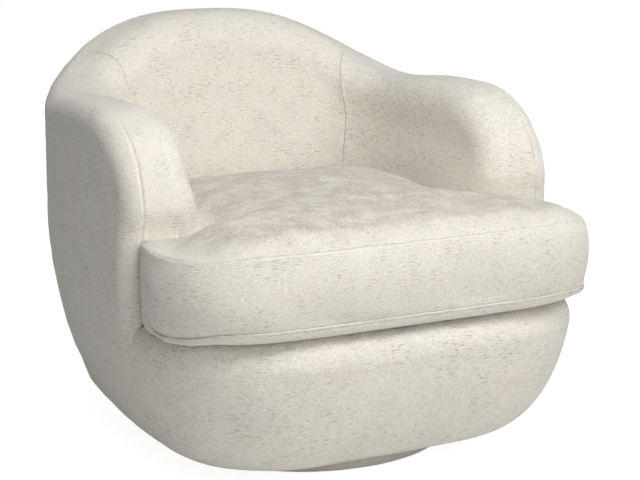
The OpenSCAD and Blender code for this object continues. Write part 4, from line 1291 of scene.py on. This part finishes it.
ZIP_Z = 0.3583
TAPE_W = 0.026
TAPE_THICK = 0.0012
TAPE_ROOM = 0.0006
ZIP_REACH = math.radians(ZIP_HALF)
TOOTH_PITCH = 0.0022
TOOTH_SHIFT = 0.0006
TOOTH_HALF = (0.0008, 0.0018)
# Rings of a tooth: distance out of the tape, and size
TOOTH_RINGS = [(0, 1.0), (0.0010, 1.0), (0.0014, 0.7)]
TOOTH_OUTLINE = np.array([(-1, -0.7), (-0.7, -1), (0.7, -1), (1, -0.7),
                          (1, 0.7), (0.7, 1), (-0.7, 1), (-1, 0.7)])


def on_zip(turn, out, up):
    """Places along the zip's curve: angle from its middle, distance out of the boxing, height above it."""
    turn, out, up = np.broadcast_arrays(turn, out, up)
    r = ZIP_R + TAPE_ROOM + out
    return np.stack([r*np.sin(turn), ZIP_Y + r*np.cos(turn), ZIP_Z + up], -1)


def zip_tape():
    """Points and faces of the tape with its hemmed edges."""
    turn = np.linspace(-ZIP_REACH, ZIP_REACH, 90)
    half, t = TAPE_W/2, TAPE_THICK
    lower = [(0, -half), (t*0.6, -half), (t, -half + 0.0008), (t, -half + 0.003), (t*0.75, -half + 0.004),
             (t*0.75, -0.003), (t, -0.0022)]
    profile = np.array(lower + [(out, -up) for out, up in lower[::-1]])
    rows, cols = len(turn), len(profile)
    faces = [f[::-1] for f in grid_faces(rows, cols)]
    faces += [[low + cols - 1, low + 2*cols - 1, low + cols, low] for low in range(0, (rows - 1)*cols, cols)]
    faces += [list(range(cols)), [(rows - 1)*cols + k for k in range(cols)][::-1]]
    return on_zip(turn[:, None], profile[None, :, 0], profile[None, :, 1]).reshape(-1, 3), faces


def zip_tooth(number, centre, start):
    """Points and faces of one tooth, whose first point has the number start."""
    side = TOOTH_SHIFT if number % 2 else -TOOTH_SHIFT
    wide, high = TOOTH_OUTLINE.T*np.array(TOOTH_HALF)[:, None]
    points = [on_zip(centre + wide*size/ZIP_R, TAPE_THICK + out, side + high*size)
              for out, size in TOOTH_RINGS]
    n = len(TOOTH_OUTLINE)
    faces = [[low + k, low + n + k, low + n + (k + 1) % n, low + (k + 1) % n]
             for low in (start, start + n) for k in range(n)]
    return points, faces + [[start + k for k in range(n)], [start + 2*n + k for k in range(n)][::-1]]


def build_zip():
    """Tape with hemmed edges and a row of interlocked teeth."""
    tape, faces = zip_tape()
    verts = [tape]
    start = len(tape)
    for number, centre in enumerate(np.arange(-ZIP_REACH + 0.003, ZIP_REACH - 0.003, TOOTH_PITCH/ZIP_R)):
        points, more = zip_tooth(number, centre, start)
        verts += points
        faces += more
        start += len(TOOTH_OUTLINE)*len(TOOTH_RINGS)
    verts = np.concatenate(verts)
    return make("zip_tape_band", verts, faces, ZIP_CLOTH, verts)


plinth = build_plinth()
felt_pad = build_felt()
dust = build_dust_cover()
zip_band = build_zip()


# What rides on what: piece, body, nodes that it replaces, slot, and filling where it is padded

for piece, body, nodes, slot, fill in [
        (outer, "seat", ["outer_cover"], "chenille", 0.95),
        (border, "seat", ["front_border", "front_edge_foam"], "chenille", 0.9),
        (arm_right, "seat", ["right_arm_pad"], "chenille", 0.9),
        (arm_left, "seat", ["left_arm_pad"], "chenille", 0.9),
        (back, "seat", ["back_pad"], "chenille", 0.85),
        (deck, "seat", ["deck_pad"], "deck_cloth", 0.9),
        (cushion_top, "cushion", ["cushion_cover", "cushion_core"], "cushion_chenille", 0.8),
        (cushion_base, "cushion", ["cushion_base_panel"], "cushion_chenille", 0.9),
        (welt, "cushion", ["cushion_welt"], "cushion_chenille", None),
        (zip_band, "cushion", ["zip_tape"], "zip_fabric", None),
        (dust, "seat", ["dust_cover"], "black_cambric", None),
        (felt_pad, "base", ["floor_felt"], "floor_felt_wool", None),
        (plinth, "base", ["plinth_cover"], "chenille", 0.95)]:
    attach(piece, body)
    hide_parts(*nodes)

corners = points_of(dust.data)


# Materials of the solid parts, by slot

FINISHES = {
    "plywood": plywood("birch_ply"),
    "zinc": metal("zinc_plate", (196, 200, 204), (160, 165, 172), 0.36),
    "spring_steel": metal("spring_wire", (150, 150, 152), (104, 102, 100), 0.34),
    "plate_paint": plastic("plate_paint", (34, 35, 37), (48, 49, 52), 0.5),
    "ball_steel": metal("ball_steel", (214, 216, 220), (188, 190, 196), 0.16),
    "cage_nylon": plastic("cage_nylon", (206, 190, 148), (190, 172, 128), 0.4),
    "white_nylon": plastic("white_nylon", (226, 226, 220), (210, 210, 204), 0.4),
    "floor_felt_wool": FELT,
    "tie_wire": plastic("paper_wire", (192, 160, 112), (166, 134, 88), 0.7),
    "webbing": threads("webbing", (176, 158, 120), (112, 98, 74), 0.0022),
    "black_cambric": CAMBRIC,
    "zip_fabric": ZIP_CLOTH,
    "zip_metal": metal("zip_metal", (182, 176, 160), (140, 132, 114), 0.3),
    "foam": FOAM,
    "deck_cloth": DECKING,
    "chenille": CLOTH,
    "cushion_chenille": CLOTH,
}
SLOT_OF = {node: m["slot"] for m in frame["record"].get("materials", []) for node in m.get("nodes", [])}


def finish_solids():
    for name, obj in frame["nodes"].items():
        if obj.hide_render:
            continue
        finish = FINISHES.get(SLOT_OF.get(name), FINISHES["plywood"])
        for place in obj.material_slots:
            place.material = finish
        if not obj.material_slots:
            obj.data.materials.append(finish)


finish_solids()


# Floor, light and camera: colours are linear here

FLOOR_HALF = 14.0
FLOOR_COLOR = (0.8, 0.8, 0.79, 1)
SHADOW_COLOR = (0.42, 0.42, 0.42, 1)
FLOOR_GLOW = 0.90
SKY_COLOR = (0.97, 0.985, 1.0, 1)
SKY_STRENGTH = 0.30
WHITE = (1, 1, 1, 1)
# Lamps: name, place, target, diameter, watts and colour
LAMPS = [("key", (1.9, -2.1, 2.7), (0, 0, 0.4), 1.5, 29, (1.0, 0.995, 0.985)),
         ("front", (-0.3, -3.4, 1.3), (0, 0, 0.3), 2.2, 25, (1.0, 0.995, 0.985)),
         ("inside", (-0.15, -1.05, 1.85), (0, 0.25, 0.55), 0.8, 16, (1.0, 0.995, 0.975))]


def cleared_nodes(owner):
    owner.use_nodes = True
    owner.node_tree.nodes.clear()
    return Nodes(owner.node_tree)


def build_floor():
    """Pale floor. Camera, glossy and transmission rays see it glow, with the object's shadow on it."""
    material = bpy.data.materials.new("studio_floor")
    nodes = cleared_nodes(material)
    plain = nodes.add("ShaderNodeBsdfDiffuse", Color=FLOOR_COLOR)
    shaded = nodes.add("ShaderNodeBsdfDiffuse", Color=SHADOW_COLOR)
    glow = nodes.add("ShaderNodeEmission", Strength=FLOOR_GLOW)
    seen = 0.0
    for ray in ("Is Camera Ray", "Is Glossy Ray", "Is Transmission Ray"):
        seen = nodes.math("MAXIMUM", seen, nodes.add("ShaderNodeLightPath", ray))
    backdrop = nodes.add("ShaderNodeAddShader", _0=glow, _1=shaded)
    nodes.show("ShaderNodeOutputMaterial", nodes.add("ShaderNodeMixShader", _0=seen, _1=plain, _2=backdrop))
    xs = np.linspace(-FLOOR_HALF, FLOOR_HALF, 3)
    grid = np.stack(np.meshgrid(xs, xs, indexing="ij") + [np.zeros((3, 3))], -1)
    make("studio_floor", grid, grid_faces(3, 3), material)


def build_world():
    """Soft light from all round, which the camera sees as white."""
    world = bpy.data.worlds.new("studio")
    bpy.context.scene.world = world
    nodes = cleared_nodes(world)
    soft_sky = nodes.add("ShaderNodeBackground", Color=SKY_COLOR, Strength=SKY_STRENGTH)
    white = nodes.add("ShaderNodeBackground", Color=WHITE)
    seen = nodes.add("ShaderNodeLightPath", "Is Camera Ray")
    nodes.show("ShaderNodeOutputWorld", nodes.add("ShaderNodeMixShader", _0=seen, _1=soft_sky, _2=white))


def aim(obj, place, target):
    obj.location = place
    obj.rotation_euler = (Vector(target) - Vector(place)).to_track_quat("-Z", "Y").to_euler()


def lamp(name, place, target, size, watts, color):
    data = bpy.data.lights.new(name, "AREA")
    data.shape, data.size, data.energy, data.color = "DISK", size, watts, color
    obj = bpy.data.objects.new(name, data)
    bpy.context.scene.collection.objects.link(obj)
    aim(obj, place, target)


build_floor()
build_world()
for row in LAMPS:
    lamp(*row)

# Camera fitted to the photograph's frame of 640 by 480
FOCAL_PX = 1575.4
IMAGE_W = 640
CENTRE_X = 300.96
SENSOR = 36.0
CAM_AZ, CAM_EL, CAM_DIST = math.radians(-26.40), math.radians(12.74), 2.962
CAM_TARGET = Vector((0, 0, 0.3558))


def build_camera():
    data = bpy.data.cameras.new("camera")
    data.sensor_width = SENSOR
    data.lens = FOCAL_PX/IMAGE_W*SENSOR
    data.shift_x = (IMAGE_W/2 - CENTRE_X)/IMAGE_W
    obj = bpy.data.objects.new("camera", data)
    bpy.context.scene.collection.objects.link(obj)
    level = math.cos(CAM_EL)
    way = Vector((math.sin(CAM_AZ)*level, -math.cos(CAM_AZ)*level, math.sin(CAM_EL)))
    aim(obj, CAM_TARGET + CAM_DIST*way, CAM_TARGET)
    return obj


bpy.context.scene.camera = build_camera()
bpy.context.scene.view_settings.view_transform = "Standard"
